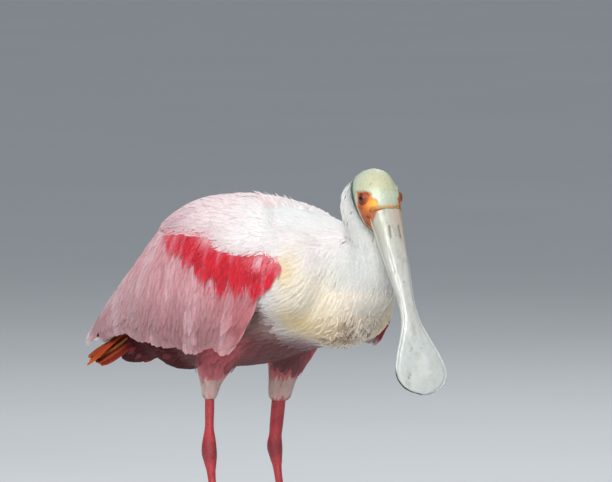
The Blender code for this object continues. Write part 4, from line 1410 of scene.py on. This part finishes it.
def vane_coat(wing, rng):
    """The wing's flight feathers, coverts and the small feathers of its end."""
    colours = COVERT_COLOURS[wing.label]
    rows = [(share, FLIGHT_REAR) for share in FLIGHT_SHARES]
    flights = rows_of_tips(wing, rows, 5.5, rng, 8, 0, 0.4)
    groups = [wing_group(wing, flights, FLIGHT, colours, rng)]
    primaries = [(-204 + 7.0 * i, 0.30 + 0.055 * i) for i in range(9)]
    primaries += [(-196 + 9.0 * i, 0.05 + 0.01 * i) for i in range(12)]
    groups.append(wing_group(wing, primaries, PRIMARY, colours, rng))
    rows = [(share, -196 + 30 * share) for share in COVERT_SHARES]
    coverts = rows_of_tips(wing, rows, 7.5, rng, 6, 0.5, 0.3)
    groups.append(wing_group(wing, coverts, COVERT, colours, rng))
    ends = np.stack([rng.uniform(-203, -178, END_COUNT), rng.uniform(0.1, 0.97, END_COUNT)], -1)
    groups.append(wing_group(wing, ends, WING_END, colours, rng))
    return bundled(groups)


def plume_coat(wing, rng):
    """The shaggy red plumes between the cape and the coverts."""
    count = PLUME_COUNT
    forward = rng.uniform(-50, 108, count)
    top, low = np.interp(forward, *CAPE_EDGE) + 4, np.interp(forward, *RED_EDGE)
    depth = rng.beta(1.0, 1.0, count) * np.where(rng.uniform(0, 1, count) < 0.14, 1.25, 1.0)
    clump = 4.5 * waves(np.stack([forward, 0 * forward], -1), 6, 71) + rng.normal(0, 3.0, count)
    height = top + (low - top) * depth + clump * depth - 4
    share = wing.share_at(forward, height)
    keep = (forward < wing.front(share) + 3) & ((forward < 70) | (height < top - 7))
    keep &= rng.uniform(0, 1, count) > ramp(forward, -30, -52) * 0.75
    tips = np.stack([forward, share], -1)[keep]
    length = rng.uniform(16, 30, len(tips)) * (1 - 0.45 * ramp(tips[:, 0], 55, 85))
    kind = PLUME._replace(length=length, wide=rng.uniform(1.1, 2.6, len(tips)))
    return wing_group(wing, tips, kind, plume_colours, rng)


def cape_tips(wing, rng):
    """Tips of the cape's broad feathers, in rows down from the ridge to the cape's edge."""
    tips = []
    for row in range(CAPE_ROWS):
        share = 0.02 + 0.023 * row
        front = wing.front(np.array([share]))[0]
        spots = np.arange(-72, front - 2, CAPE_GAP) + (row % 2) * CAPE_GAP / 2 + rng.uniform(-1.5, 1.5)
        tips.append(np.stack([spots, share + rng.uniform(-0.01, 0.01, len(spots))], -1))
    tips = np.concatenate(tips)
    place, droop = wing.point(*tips.T)
    above = place[:, 2] + droop > np.interp(tips[:, 0], *CAPE_EDGE) - 1
    return tips[above & (tips[:, 0] > -70)]


def cape_coat(wing, rng):
    """The cape over the shoulder, with its fringe, the spikes of its ridge and its rear end."""
    colours = CAPE_COLOURS[wing.label]
    groups = [wing_group(wing, cape_tips(wing, rng), CAPE, colours, rng)]
    forward = rng.uniform(-66, 96, FRINGE_COUNT)
    height = np.interp(forward, *CAPE_EDGE) + rng.uniform(-4, 5, FRINGE_COUNT)
    fringe = np.stack([forward, wing.share_at(forward, height)], -1)
    groups.append(wing_group(wing, fringe, CAPE_FRINGE, colours, rng))
    spikes = np.stack([rng.uniform(-8, 34, SPIKE_COUNT), rng.uniform(0.01, 0.08, SPIKE_COUNT)], -1)
    groups.append(wing_group(wing, spikes, CAPE_SPIKE, colours, rng))
    forward = np.linspace(-69, -58, 6)
    ends = np.stack([forward, wing.share_at(forward, np.linspace(323, 319, 6))], -1)
    groups.append(wing_group(wing, ends, CAPE_END, colours, rng))
    return bundled(groups)


def wing_coat(wing):
    """All the feathers of one folded wing, by piece."""
    rng = np.random.default_rng(100 + wing.side)
    return {
        f"coat_wing_{wing.label}": vane_coat(wing, rng),
        f"coat_plumes_{wing.label}": plume_coat(wing, rng),
        f"coat_cape_{wing.label}": cape_coat(wing, rng),
    }


TAIL_ORANGE = (154, 68, 24)
TAIL_DARK = (136, 38, 18)
TAIL_SIDE = ((150, 62, 24), (104, 26, 16), (176, 104, 56), (92, 22, 14))


def tail_coat():
    """Twelve orange tail feathers in a fan."""
    rng = np.random.default_rng(9)
    steps = 14
    t = np.linspace(0, 1, steps)
    spot = (np.arange(TAIL_FEATHERS) + 0.5) / TAIL_FEATHERS * 2 - 1
    across = spot[:, None]
    reach = TAIL_LENGTH - 5.0 * across**2 - 1.5
    out = 14 + (reach - 14) * t
    turn = across * TAIL_SPREAD
    flat = out * np.cos(turn)
    arch = -TAIL_CROWN * across**2 * (0.6 + 0.4 * np.clip((out - 42) / 64, 0, 1))
    layer = -1.6 + 0.5 * (1 - np.abs(across)) * 2
    lines = np.stack([
        TAIL_ROOT[0] - flat * math.cos(TAIL_SLOPE),
        (0.75 * out + 32) * np.sin(turn),
        TAIL_ROOT[2] - flat * math.sin(TAIL_SLOPE) + arch + layer,
    ], -1)
    normal = np.array([-math.sin(TAIL_SLOPE), 0, math.cos(TAIL_SLOPE)])
    tilt = np.stack([0 * spot, spot * np.abs(spot) * 1.5, 0 * spot], -1)
    ups = np.broadcast_to(unit(normal + tilt)[:, None], lines.shape)
    shape = np.interp(t, [0, 0.3, 0.8, 0.93, 1], [0.5, 0.8, 1.0, 0.8, 0.35])
    wide = np.broadcast_to(5.4 * shape, (TAIL_FEATHERS, steps))
    thick = np.broadcast_to(0.9 * (1 - 0.5 * t), (TAIL_FEATHERS, steps))
    paint = layered(tinted(steps, TAIL_ORANGE), (TAIL_DARK, ramp(t, 0.98, 0.8) * 0.75))
    paint = paint * rng.uniform(0.85, 1.1, (TAIL_FEATHERS, 1, 1))
    roots = np.stack([0.1 + 0.8 * (spot + 1) / 2, 0 * spot + 0.5], -1)
    fan = vanes(lines, ups, wide, thick, 0.10, paint, roots, BROAD)
    return bundled([fan, *[tail_side(side, rng) for _, side in SIDES]])


def tail_side(side, rng):
    """Darker feathers that close the fan's side from below."""
    count, steps = 6, 10
    t = np.linspace(0, 1, steps)
    k = np.linspace(0, 1, count)[:, None]
    root = np.concatenate([-108 + 4 * k, side * (15 + 5 * k), 240 - 10 * k], 1)
    tip = np.concatenate([-182 + 18 * k, side * (25 + 2 * k), 196 - 6 * k], 1)
    lines = root[:, None] + (tip - root)[:, None] * t[:, None]
    lines[..., 2] -= 3 * np.sin(math.pi * t)
    ups = np.broadcast_to(unit(np.array([-0.2, side * 1.0, 0.25])), lines.shape)
    wide = 4.6 * np.interp(t, [0, 0.3, 0.8, 0.93, 1], [0.6, 0.9, 1, 0.8, 0.4]) * np.ones((count, 1))
    thick = 0.7 * (1 - 0.5 * t) * np.ones((count, 1))
    colour = np.array(TAIL_SIDE)[np.arange(count) % len(TAIL_SIDE)]
    paint = np.repeat(colour[:, None], steps, 1) * rng.uniform(0.9, 1.1, (count, 1, 1))
    roots = np.stack([0.1 + 0.8 * k[:, 0], np.full(count, 0.5 + 0.2 * side)], -1)
    return vanes(lines, ups, wide, thick, 0.10, paint, roots, BROAD)


# Bill, eyes and claws.

HORN_GREY = (174, 175, 172)
HORN_PINK = (168, 150, 132)
HORN_GREEN = (158, 159, 142)
SPOON_GREY = (176, 181, 180)
HORN_STREAK = (146, 144, 132)
HORN_MOTTLE = (136, 140, 130)
HORN_PALE = (206, 207, 203)
HORN_FLECK = (110, 106, 94)
NOSTRIL_DARK = (62, 52, 44)
# painted shadow: a black line of shade along the spoon's edge where the mandibles meet, on the bird's right
# side only
SEAM_SHADOW_BLACK = (40, 36, 32)
GAPE_SKIN = (164, 92, 50)
UNDERSIDE_PALE = (216, 213, 202)
EYE_DARK = (34, 14, 12)
IRIS_RED = (140, 44, 24)
IRIS_DEEP = (92, 18, 14)
PUPIL = (14, 6, 6)
CLAW_DARK = (58, 46, 44)
CLAW_LIGHT = (96, 76, 66)


def nostrils(share, left):
    """1 in the two slits near the bill's base, 0 elsewhere."""
    return bell(np.abs(left) - 4.9, 0.55) * ramp(share, 0.088, 0.1) * ramp(share, 0.17, 0.155)


def bill_relief(share, left, wide):
    """How far the top of the bill stands out: side grooves, the spoon's rim, nostrils and fine lines."""
    edge = wide - np.abs(left)
    groove = -0.55 * bell(edge - 2.6, 0.8) * ramp(share, 0.17, 0.24)
    rim = 0.35 * bell(edge, 1.6) * ramp(share, 0.5, 0.7)
    lines = 0.12 * np.sin(left * 3.2) * ramp(share, 0.5, 0.1)
    return groove + rim - 1.6 * nostrils(share, left) + lines


def bill_form(upper):
    """Half of the bill, with nostrils, side grooves and a fine rugged surface."""
    count, sides = 260, 72
    share, wide, above, below = along_stations(BILL_STATIONS, count)
    share = np.where(share < 0, share + 0.006, share)
    seam = -above - BILL_TIP_DROOP * np.maximum(0, (share - 0.8) / 0.2) ** 2
    way = 1 if upper else -1
    gap = way * BILL_GAP / 2
    centre = BILL_BASE + BILL_ALONG * (BILL_LENGTH * share + BILL_GAP)[:, None]
    centre = centre + BILL_CROWN * (seam + gap)[:, None]
    tall = (above - gap, 0 * above) if upper else (0 * above, below)
    rings = section(centre, HEAD_LEFT, BILL_CROWN, wide if upper else wide - 0.5, *tall, sides, BILL_FULLNESS)
    left = (rings - centre[:, None]) @ HEAD_LEFT
    face = np.clip(np.sin(2 * math.pi * np.arange(sides) / sides) * way, 0, 1)
    relief = bill_relief(share[:, None], left, wide[:, None]) * (face > 0.02) * upper
    flat = rings.reshape(-1, 3)
    rough = (waves(flat, 2.6, 81) * 0.10 + waves(flat, 7, 82) * 0.16).reshape(count, sides)
    push = (relief + rough) * np.minimum(face * 6, 1)
    return tube(rings + BILL_CROWN * (way * push)[..., None])


def bill_colours(p):
    """Pale horn grey, greener on the spoon, pinkish at the base, with dark flecks and a black line of painted
    shadow along the spoon's right edge.
    """
    d = p - BILL_BASE
    share, left = d @ BILL_ALONG / BILL_LENGTH, d @ HEAD_LEFT
    wide = curve([s[:2] for s in BILL_STATIONS], share)[:, 0]
    stretched = np.stack([share * 30, left, d @ BILL_CROWN], -1)
    mottle = ramp(waves(p, 5, 92) + 0.5 * waves(p, 2, 93), 0.7, 1.5)
    flecks = ramp(waves(p, 1.6, 95) + waves(p, 3.3, 96), 2.1, 2.5)
    # painted shadow along the spoon's edge, on the right side only
    rim = ramp(wide - np.abs(left), 0.9, 0.3) * ramp(share, 0.84, 0.9) * ramp(left, 14, -4)
    depth = np.clip(-(d @ BILL_CROWN) / BILL_STATIONS[0][2], 0, 1.5)
    skin_end = 14 * depth**1.5 + 0.5 * waves(p, 3, 97)
    skin = ramp(share * BILL_LENGTH, skin_end + 0.8, skin_end - 0.8)
    return layered(
        tinted(len(p), HORN_GREY),
        (HORN_PINK, ramp(share, 0.35, 0.0) * ramp(left, -6, 6) * 0.8),
        (HORN_GREEN, ramp(share, 0.4, 0.0) * ramp(left, 4, -8) * 0.7),
        (SPOON_GREY, ramp(share, 0.55, 0.75)),
        (HORN_STREAK, ramp(waves(stretched, 1.5, 91), 0.5, 1.2) * 0.35 * ramp(share, 0.6, 0.3)),
        (HORN_MOTTLE, mottle * 0.35),
        (HORN_PALE, ramp(waves(p, 9, 94), 0.5, 1.2) * 0.4),
        (HORN_FLECK, flecks * 0.5),
        (NOSTRIL_DARK, nostrils(share, left) * 0.9),
        (SEAM_SHADOW_BLACK, rim),
        (GAPE_SKIN, skin * (0.9 + 0.1 * waves(p, 4, 98))),
    )


def bill_lower_colours(p):
    share = (p - BILL_BASE) @ BILL_ALONG / BILL_LENGTH
    return layered(bill_colours(p), (UNDERSIDE_PALE, ramp(share, 0.6, 0.4) * 0.6))


def eye_form(side):
    """The ball with a low clear bulge in front, its middle and the way it looks."""
    gaze = unit(HEAD_LEFT * side * 0.96 + HEAD_FORWARD * 0.28)
    up = unit(UP - gaze * (UP @ gaze))
    turn = np.linspace(0, math.pi, 40)
    bulge = 1 + 0.05 * bell(turn, 0.5)
    centre = from_head(EYE_PLACE[0], EYE_PLACE[1], side * EYE_PLACE[2])
    centres = centre + gaze * (EYE_RADIUS * bulge * np.cos(turn))[:, None]
    radius = np.maximum(EYE_RADIUS * bulge * np.sin(turn), 0.01)
    return tube(section(centres, np.cross(gaze, up), up, radius, radius, radius, 48)), centre, gaze


def eye_colours(p, centre, gaze):
    tilt = np.degrees(np.arccos(np.clip(unit(p - centre) @ gaze, -1, 1)))
    return layered(
        tinted(len(p), EYE_DARK),
        (IRIS_RED, ramp(tilt, 66, 58)),
        (IRIS_DEEP, ramp(tilt, 46, 32) * 0.7),
        (PUPIL, ramp(tilt, 26, 22)),
    )


def claw_form(leg, side, degrees, length):
    """A claw from inside its toe's end to its point just over the floor."""
    way, across = toe_way(side, degrees)
    share = np.linspace(0, 1, 22)
    thick = CLAW_RADIUS * (1 - 0.86 * share) ** 0.85 * np.sqrt(np.clip(share * 8 + 0.35, 0, 1))
    reach = length - CLAW_ROOT + (CLAW_LENGTH + CLAW_ROOT) * share
    height = np.maximum(thick, 0.2) + 1.7 * (1 - share) ** 1.4 + 0.05
    return tube(section(along_toe(leg, way, reach, height), across, UP, thick * 0.8, thick, thick, 16))


# Materials.

FLOOR_COLOUR = (206, 209, 211)


def new_material(name, roughness, sheen=0.0, coat=0.0, specular=0.4):
    made = bpy.data.materials.new(name)
    made.use_nodes = True
    shader = made.node_tree.nodes["Principled BSDF"]
    shader.inputs["Roughness"].default_value = roughness
    shader.inputs["Sheen Weight"].default_value = sheen
    shader.inputs["Coat Weight"].default_value = coat
    shader.inputs["Specular IOR Level"].default_value = specular
    return made, made.node_tree, shader.inputs


def node(tree, kind, **settings):
    made = tree.nodes.new(kind)
    for key, value in settings.items():
        setattr(made, key, value)
    return made


def noise(tree, coordinates, scale, detail=4.0):
    made = node(tree, "ShaderNodeTexNoise")
    made.inputs["Scale"].default_value = scale
    made.inputs["Detail"].default_value = detail
    tree.links.new(coordinates, made.inputs["Vector"])
    return made.outputs["Fac"]


def cells(tree, coordinates, scale):
    """The distance from the edges of small irregular cells."""
    made = node(tree, "ShaderNodeTexVoronoi", feature="DISTANCE_TO_EDGE")
    made.inputs["Scale"].default_value = scale
    tree.links.new(coordinates, made.inputs["Vector"])
    return made.outputs["Distance"]


def spanned(tree, value, low, high, to_low, to_high):
    """The value moved from one range to another."""
    made = node(tree, "ShaderNodeMapRange")
    for name, number in (("From Min", low), ("From Max", high), ("To Min", to_low), ("To Max", to_high)):
        made.inputs[name].default_value = number
    tree.links.new(value, made.inputs["Value"])
    return made.outputs["Result"]


def varied(tree, uneven, low, high):
    """A noise spread over a range."""
    return spanned(tree, uneven, 0.3, 0.7, low, high)


def maths(tree, operation, a, b=None):
    made = node(tree, "ShaderNodeMath", operation=operation)
    for socket, value in zip(made.inputs, (a, b)):
        if isinstance(value, (int, float)):
            socket.default_value = value
        elif value is not None:
            tree.links.new(value, socket)
    return made.outputs[0]


def times(tree, a, b):
    return maths(tree, "MULTIPLY", a, b)


def coloured(tree, factor):
    """Gives the shader the painted colour, made lighter or darker by a factor round 1."""
    made = node(tree, "ShaderNodeVectorMath", operation="SCALE")
    paint = node(tree, "ShaderNodeVertexColor", layer_name="Paint")
    tree.links.new(paint.outputs["Color"], made.inputs[0])
    tree.links.new(factor, made.inputs["Scale"])
    tree.links.new(made.outputs["Vector"], tree.nodes["Principled BSDF"].inputs["Base Color"])


def finished(tree, factor, roughness, height, strength, distance):
    """Gives the shader its colour, roughness and fine relief."""
    coloured(tree, factor)
    shader = tree.nodes["Principled BSDF"]
    tree.links.new(roughness, shader.inputs["Roughness"])
    made = node(tree, "ShaderNodeBump")
    made.inputs["Strength"].default_value = strength
    made.inputs["Distance"].default_value = distance * MM
    tree.links.new(height, made.inputs["Height"])
    tree.links.new(made.outputs["Normal"], shader.inputs["Normal"])


def object_coordinates(tree):
    return node(tree, "ShaderNodeTexCoord").outputs["Object"]


def feather_streaks(tree, x, y):
    """Long soft streaks along each feather, different from one to the next by its chance number."""
    lot = node(tree, "ShaderNodeAttribute", attribute_name="Lot").outputs["Fac"]
    spot = node(tree, "ShaderNodeCombineXYZ")
    for name, value, scale in (("X", x, 7.0), ("Y", y, 1.3), ("Z", lot, 97.0)):
        tree.links.new(times(tree, value, scale), spot.inputs[name])
    return noise(tree, spot.outputs[0], 1.0, 2.0)


def feather_material(name, barbs, shaft, contrast, roughness=0.75, sheen=0.25):
    """Feather vanes: a shaft, slanting barbs and soft uneven colour."""
    made, tree, inputs = new_material(name, roughness, sheen=sheen, specular=0.2)
    inputs["Subsurface Weight"].default_value = 0.4
    inputs["Subsurface Radius"].default_value = (1.0, 0.9, 0.85)
    inputs["Subsurface Scale"].default_value = 3 * MM
    split = node(tree, "ShaderNodeSeparateXYZ")
    tree.links.new(node(tree, "ShaderNodeUVMap", uv_map="Vane").outputs["UV"], split.inputs[0])
    x, y = split.outputs["X"], split.outputs["Y"]
    from_shaft = maths(tree, "ABSOLUTE", maths(tree, "SUBTRACT", x, 0.5))
    slant = maths(tree, "SUBTRACT", y, times(tree, from_shaft, 0.55))
    barb = maths(tree, "SINE", times(tree, slant, barbs * 6.2832))
    uneven = noise(tree, object_coordinates(tree), 420.0)
    line = spanned(tree, from_shaft, 0.012, 0.05, 1.0 + shaft, 1.0)
    line = times(tree, line, varied(tree, feather_streaks(tree, x, y), 1 - contrast, 1 + contrast))
    rough = varied(tree, uneven, 1 - contrast, 1 + contrast)
    fine = maths(tree, "ADD", times(tree, barb, 0.02), 1.0)
    factor = times(tree, times(tree, line, rough), fine)
    ridge = spanned(tree, from_shaft, 0.0, 0.06, 1.0, 0.0)
    height = maths(tree, "ADD", times(tree, barb, 0.35), ridge)
    finished(tree, factor, varied(tree, uneven, roughness - 0.08, roughness + 0.1), height, 0.35, 0.25)
    return made


def down_material():
    """The skin under the feathers, soft and uneven."""
    made, tree, _ = new_material("skin_down", 0.85, sheen=0.2, specular=0.2)
    uneven = noise(tree, object_coordinates(tree), 260.0)
    finished(tree, varied(tree, uneven, 0.93, 1.04), varied(tree, uneven, 0.78, 0.92), uneven, 0.5, 0.8)
    return made


def bare_skin_material():
    """Leathery skin of the head: pores, fine wrinkles and a faint shine."""
    made, tree, _ = new_material("skin_head", 0.55, coat=0.04, specular=0.35)
    where = object_coordinates(tree)
    pores = cells(tree, where, 900.0)
    uneven = noise(tree, where, 600.0, 6.0)
    crack = spanned(tree, pores, 0.0, 0.18, 0.93, 1.01)
    factor = times(tree, crack, varied(tree, uneven, 0.9, 1.08))
    height = maths(tree, "ADD", times(tree, pores, 1.2), uneven)
    finished(tree, factor, varied(tree, uneven, 0.42, 0.62), height, 0.3, 0.25)
    return made


def leg_material():
    """Scaly leg skin."""
    made, tree, _ = new_material("skin_legs", 0.45, coat=0.1, specular=0.5)
    where = object_coordinates(tree)
    squash = node(tree, "ShaderNodeMapping")
    squash.inputs["Scale"].default_value = (1.0, 1.0, 1.35)
    tree.links.new(where, squash.inputs["Vector"])
    scales = cells(tree, squash.outputs["Vector"], 380.0)
    uneven = noise(tree, where, 500.0)
    seam = spanned(tree, scales, 0.0, 0.12, 0.55, 1.05)
    factor = times(tree, seam, varied(tree, uneven, 0.85, 1.1))
    height = times(tree, maths(tree, "MINIMUM", scales, 0.16), 6.0)
    finished(tree, factor, varied(tree, uneven, 0.36, 0.55), height, 0.6, 0.35)
    return made


def horn_material(name, roughness):
    """Horn of bill and claws: fine scratches, faint pits, low gloss."""
    made, tree, _ = new_material(name, roughness, coat=0.15, specular=0.5)
    where = object_coordinates(tree)
    uneven = noise(tree, where, 700.0, 6.0)
    broad = noise(tree, where, 120.0, 3.0)
    factor = times(tree, varied(tree, uneven, 0.93, 1.05), varied(tree, broad, 0.95, 1.04))
    finished(tree, factor, varied(tree, uneven, roughness - 0.08, roughness + 0.12), uneven, 0.3, 0.25)
    return made


def eye_material():
    """A wet eye with a streaked iris."""
    made, tree, inputs = new_material("eye_wet", 0.2, coat=0.35, specular=0.3)
    coloured(tree, varied(tree, noise(tree, object_coordinates(tree), 1500.0), 0.75, 1.3))
    inputs["Coat Roughness"].default_value = 0.03
    return made


def floor_material():
    made, tree, inputs = new_material("floor_pale", 0.9, specular=0.2)
    blend = node(tree, "ShaderNodeMix", data_type="RGBA")
    blend.inputs[6].default_value = linear(FLOOR_COLOUR)
    blend.inputs[7].default_value = linear(np.array(FLOOR_COLOUR) + 6)
    tree.links.new(noise(tree, object_coordinates(tree), 3.0), blend.inputs["Factor"])
    tree.links.new(blend.outputs[2], inputs["Base Color"])
    return made


# Pieces.

SLOT_NAMES = {
    "tail": "tail_orange",
    "undertail": "undertail_red",
    "thighs": "thigh_pink",
    "wing": "plumage_pink",
    "plumes": "plumage_pink",
}
OWN_NODES = ("wing", "undertail", "tail")  # the coats that stand for a node of their own
SKIN_SLOTS = (0, 1, 2, 2)  # the materials of body, head and legs


def ridden(obj, slot_name, *nodes):
    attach(obj, "root")
    if nodes:
        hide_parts(*nodes)


def build_skin():
    """One mesh for all the flesh: feathered body, bare head and bare legs."""
    body, head = body_form(), head_form()
    legs = [leg_form(label, side) for label, side in SIDES]
    colours = body_colours(body.points)
    lower = on_thigh(body.points)
    colours[lower] = thigh_colours(body.points[lower])
    colours = np.concatenate([colours, head_colours(head.points), *[leg_colours(g.points) for g in legs]])
    parts = [body, head, *legs]
    form = joined(parts)
    quad_slots = np.repeat(SKIN_SLOTS, [len(part.quads) for part in parts])
    slots = np.concatenate([quad_slots, np.ones(len(form.triangles), int)])  # only the head has triangles
    mesh = mesh_of("skin", form, colours)
    obj = placed("skin", mesh, down_material(), bare_skin_material(), leg_material())
    mesh.polygons.foreach_set("material_index", slots.astype(np.int32))
    legs = [f"{part}_{label}" for part in ("thigh", "shank", "foot") for label, _ in SIDES]
    ridden(obj, "plumage_white", "trunk", "neck", "head", *legs)
    return body


def build_coat(body):
    soft = feather_material("feather_soft", 18.0, 0.03, 0.06)
    strong = feather_material("feather_vane", 46.0, 0.10, 0.08, 0.65)
    dark = feather_material("feather_dark", 30.0, 0.08, 0.08, 0.8, 0.0)
    materials = {"body": dark, "undertail": dark, "tail": dark, "wing": strong}
    coats = body_coat(Ground(body))
    for wing in WINGS:
        coats |= wing_coat(wing)
    coats["coat_tail"] = tail_coat()
    for name, made in coats.items():
        kind = name.split("_")[1]
        nodes = [name.removeprefix("coat_")] if kind in OWN_NODES else []
        obj = placed(name, mesh_of(name, *made), materials.get(kind, soft))
        ridden(obj, SLOT_NAMES.get(kind, "plumage_white"), *nodes)


def build_bill():
    horn = horn_material("bill_horn", 0.38)
    halves = (("bill_upper", True, bill_colours), ("bill_lower", False, bill_lower_colours))
    for name, upper, colours in halves:
        form = bill_form(upper)
        obj = placed(f"horn_{name}", mesh_of(name, form, colours(form.points)), horn)
        ridden(obj, "bill_grey", name)


def build_eyes():
    wet = eye_material()
    for label, side in SIDES:
        form, centre, gaze = eye_form(side)
        obj = placed(f"eyeball_{label}", mesh_of("eye", form, eye_colours(form.points, centre, gaze)), wet)
        ridden(obj, "eye_red", f"eye_{label}")


def build_claws():
    horn = horn_material("claw_horn", 0.35)
    for label, side in SIDES:
        form = joined([claw_form(LEGS[label], side, degrees, length) for _, degrees, length, _ in TOES])
        light = ramp(waves(form.points, 4, 99), 0, 1)
        colours = layered(tinted(len(form.points), CLAW_DARK), (CLAW_LIGHT, light))
        obj = placed(f"claws_{label}", mesh_of("claws", form, colours), horn)
        ridden(obj, "claw_dark", *[f"claw_{name}_{label}" for name, *_ in TOES])


# Stage.

FLOOR_REACH = 40.0
SKY_STRENGTH = 0.42
HORIZON_STRENGTH = 0.26  # as dim as the far floor, so that no edge shows between them


def build_floor():
    reach = FLOOR_REACH
    mesh = bpy.data.meshes.new("floor")
    corners = [(-reach, -reach, 0), (reach, -reach, 0), (reach, reach, 0), (-reach, reach, 0)]
    mesh.from_pydata(corners, [], [(0, 1, 2, 3)])
    placed("floor", mesh, floor_material())


def view_axes():
    """The camera's right, the way from the model back to the camera, and the camera's up."""
    a, e = VIEW_TURN, VIEW_RISE
    right = Vector((math.cos(a), math.sin(a), 0))
    back = Vector((math.sin(a) * math.cos(e), -math.cos(a) * math.cos(e), math.sin(e)))
    return right, back, back.cross(right)


def view_target():
    """The place that the photo's middle shows."""
    right, _, up = view_axes()
    hips = Vector((0, ORIGIN_FORWARD * MM, 0))
    sideways = (FRAME_MIDDLE[0] - HIPS_PIXEL[0]) * METRES_PER_PIXEL
    upwards = (HIPS_PIXEL[1] - FRAME_MIDDLE[1]) * METRES_PER_PIXEL
    return hips + right * sideways + up * upwards


def build_camera():
    right, back, up = view_axes()
    data = bpy.data.cameras.new("camera")
    data.sensor_width = SENSOR_WIDE
    data.lens = SENSOR_WIDE * VIEW_DISTANCE / (FRAME_WIDE * METRES_PER_PIXEL)
    data.clip_end = 200
    obj = placed("camera", data)
    turn = Matrix((right, up, back)).transposed()
    obj.matrix_world = Matrix.Translation(view_target() + back * VIEW_DISTANCE) @ turn.to_4x4()
    bpy.context.scene.camera = obj


def add_light(name, place, size, energy, colour):
    data = bpy.data.lights.new(name, "AREA")
    data.shape = "DISK"
    data.size = size
    data.energy = energy
    data.color = colour
    obj = placed(name, data)
    obj.location = view_target() + Vector((0, 0, 0.05)) + place
    obj.rotation_euler = place.to_track_quat("Z", "Y").to_euler()


def build_lights():
    """A key light in front, a rim light behind, and a sky that dims towards the horizon."""
    right, back, _ = view_axes()
    up = Vector((0, 0, 1))
    level = Vector((back.x, back.y, 0)).normalized()
    add_light("key", (-right * 0.32 + level * 1.5 + up * 1.22) * 1.2, 1.5, 76.0, (1.0, 0.98, 0.94))
    add_light("rim", (right * 0.4 - level * 1.6 + up * 1.5) * 1.2, 1.2, 22.0, (0.95, 0.97, 1.0))
    studio = bpy.data.worlds.new("studio")
    bpy.context.scene.world = studio
    studio.use_nodes = True
    tree = studio.node_tree
    backdrop = tree.nodes["Background"]
    height = node(tree, "ShaderNodeSeparateXYZ")
    tree.links.new(node(tree, "ShaderNodeTexCoord").outputs["Generated"], height.inputs[0])
    backdrop.inputs["Color"].default_value = (0.80, 0.86, 0.92, 1)
    strength = spanned(tree, height.outputs["Z"], 0.0, 0.5, HORIZON_STRENGTH, SKY_STRENGTH)
    tree.links.new(strength, backdrop.inputs["Strength"])


bpy.context.scene.view_settings.view_transform = "Standard"
build_camera()
build_lights()
build_floor()
build_coat(build_skin())
build_bill()
build_eyes()
build_claws()
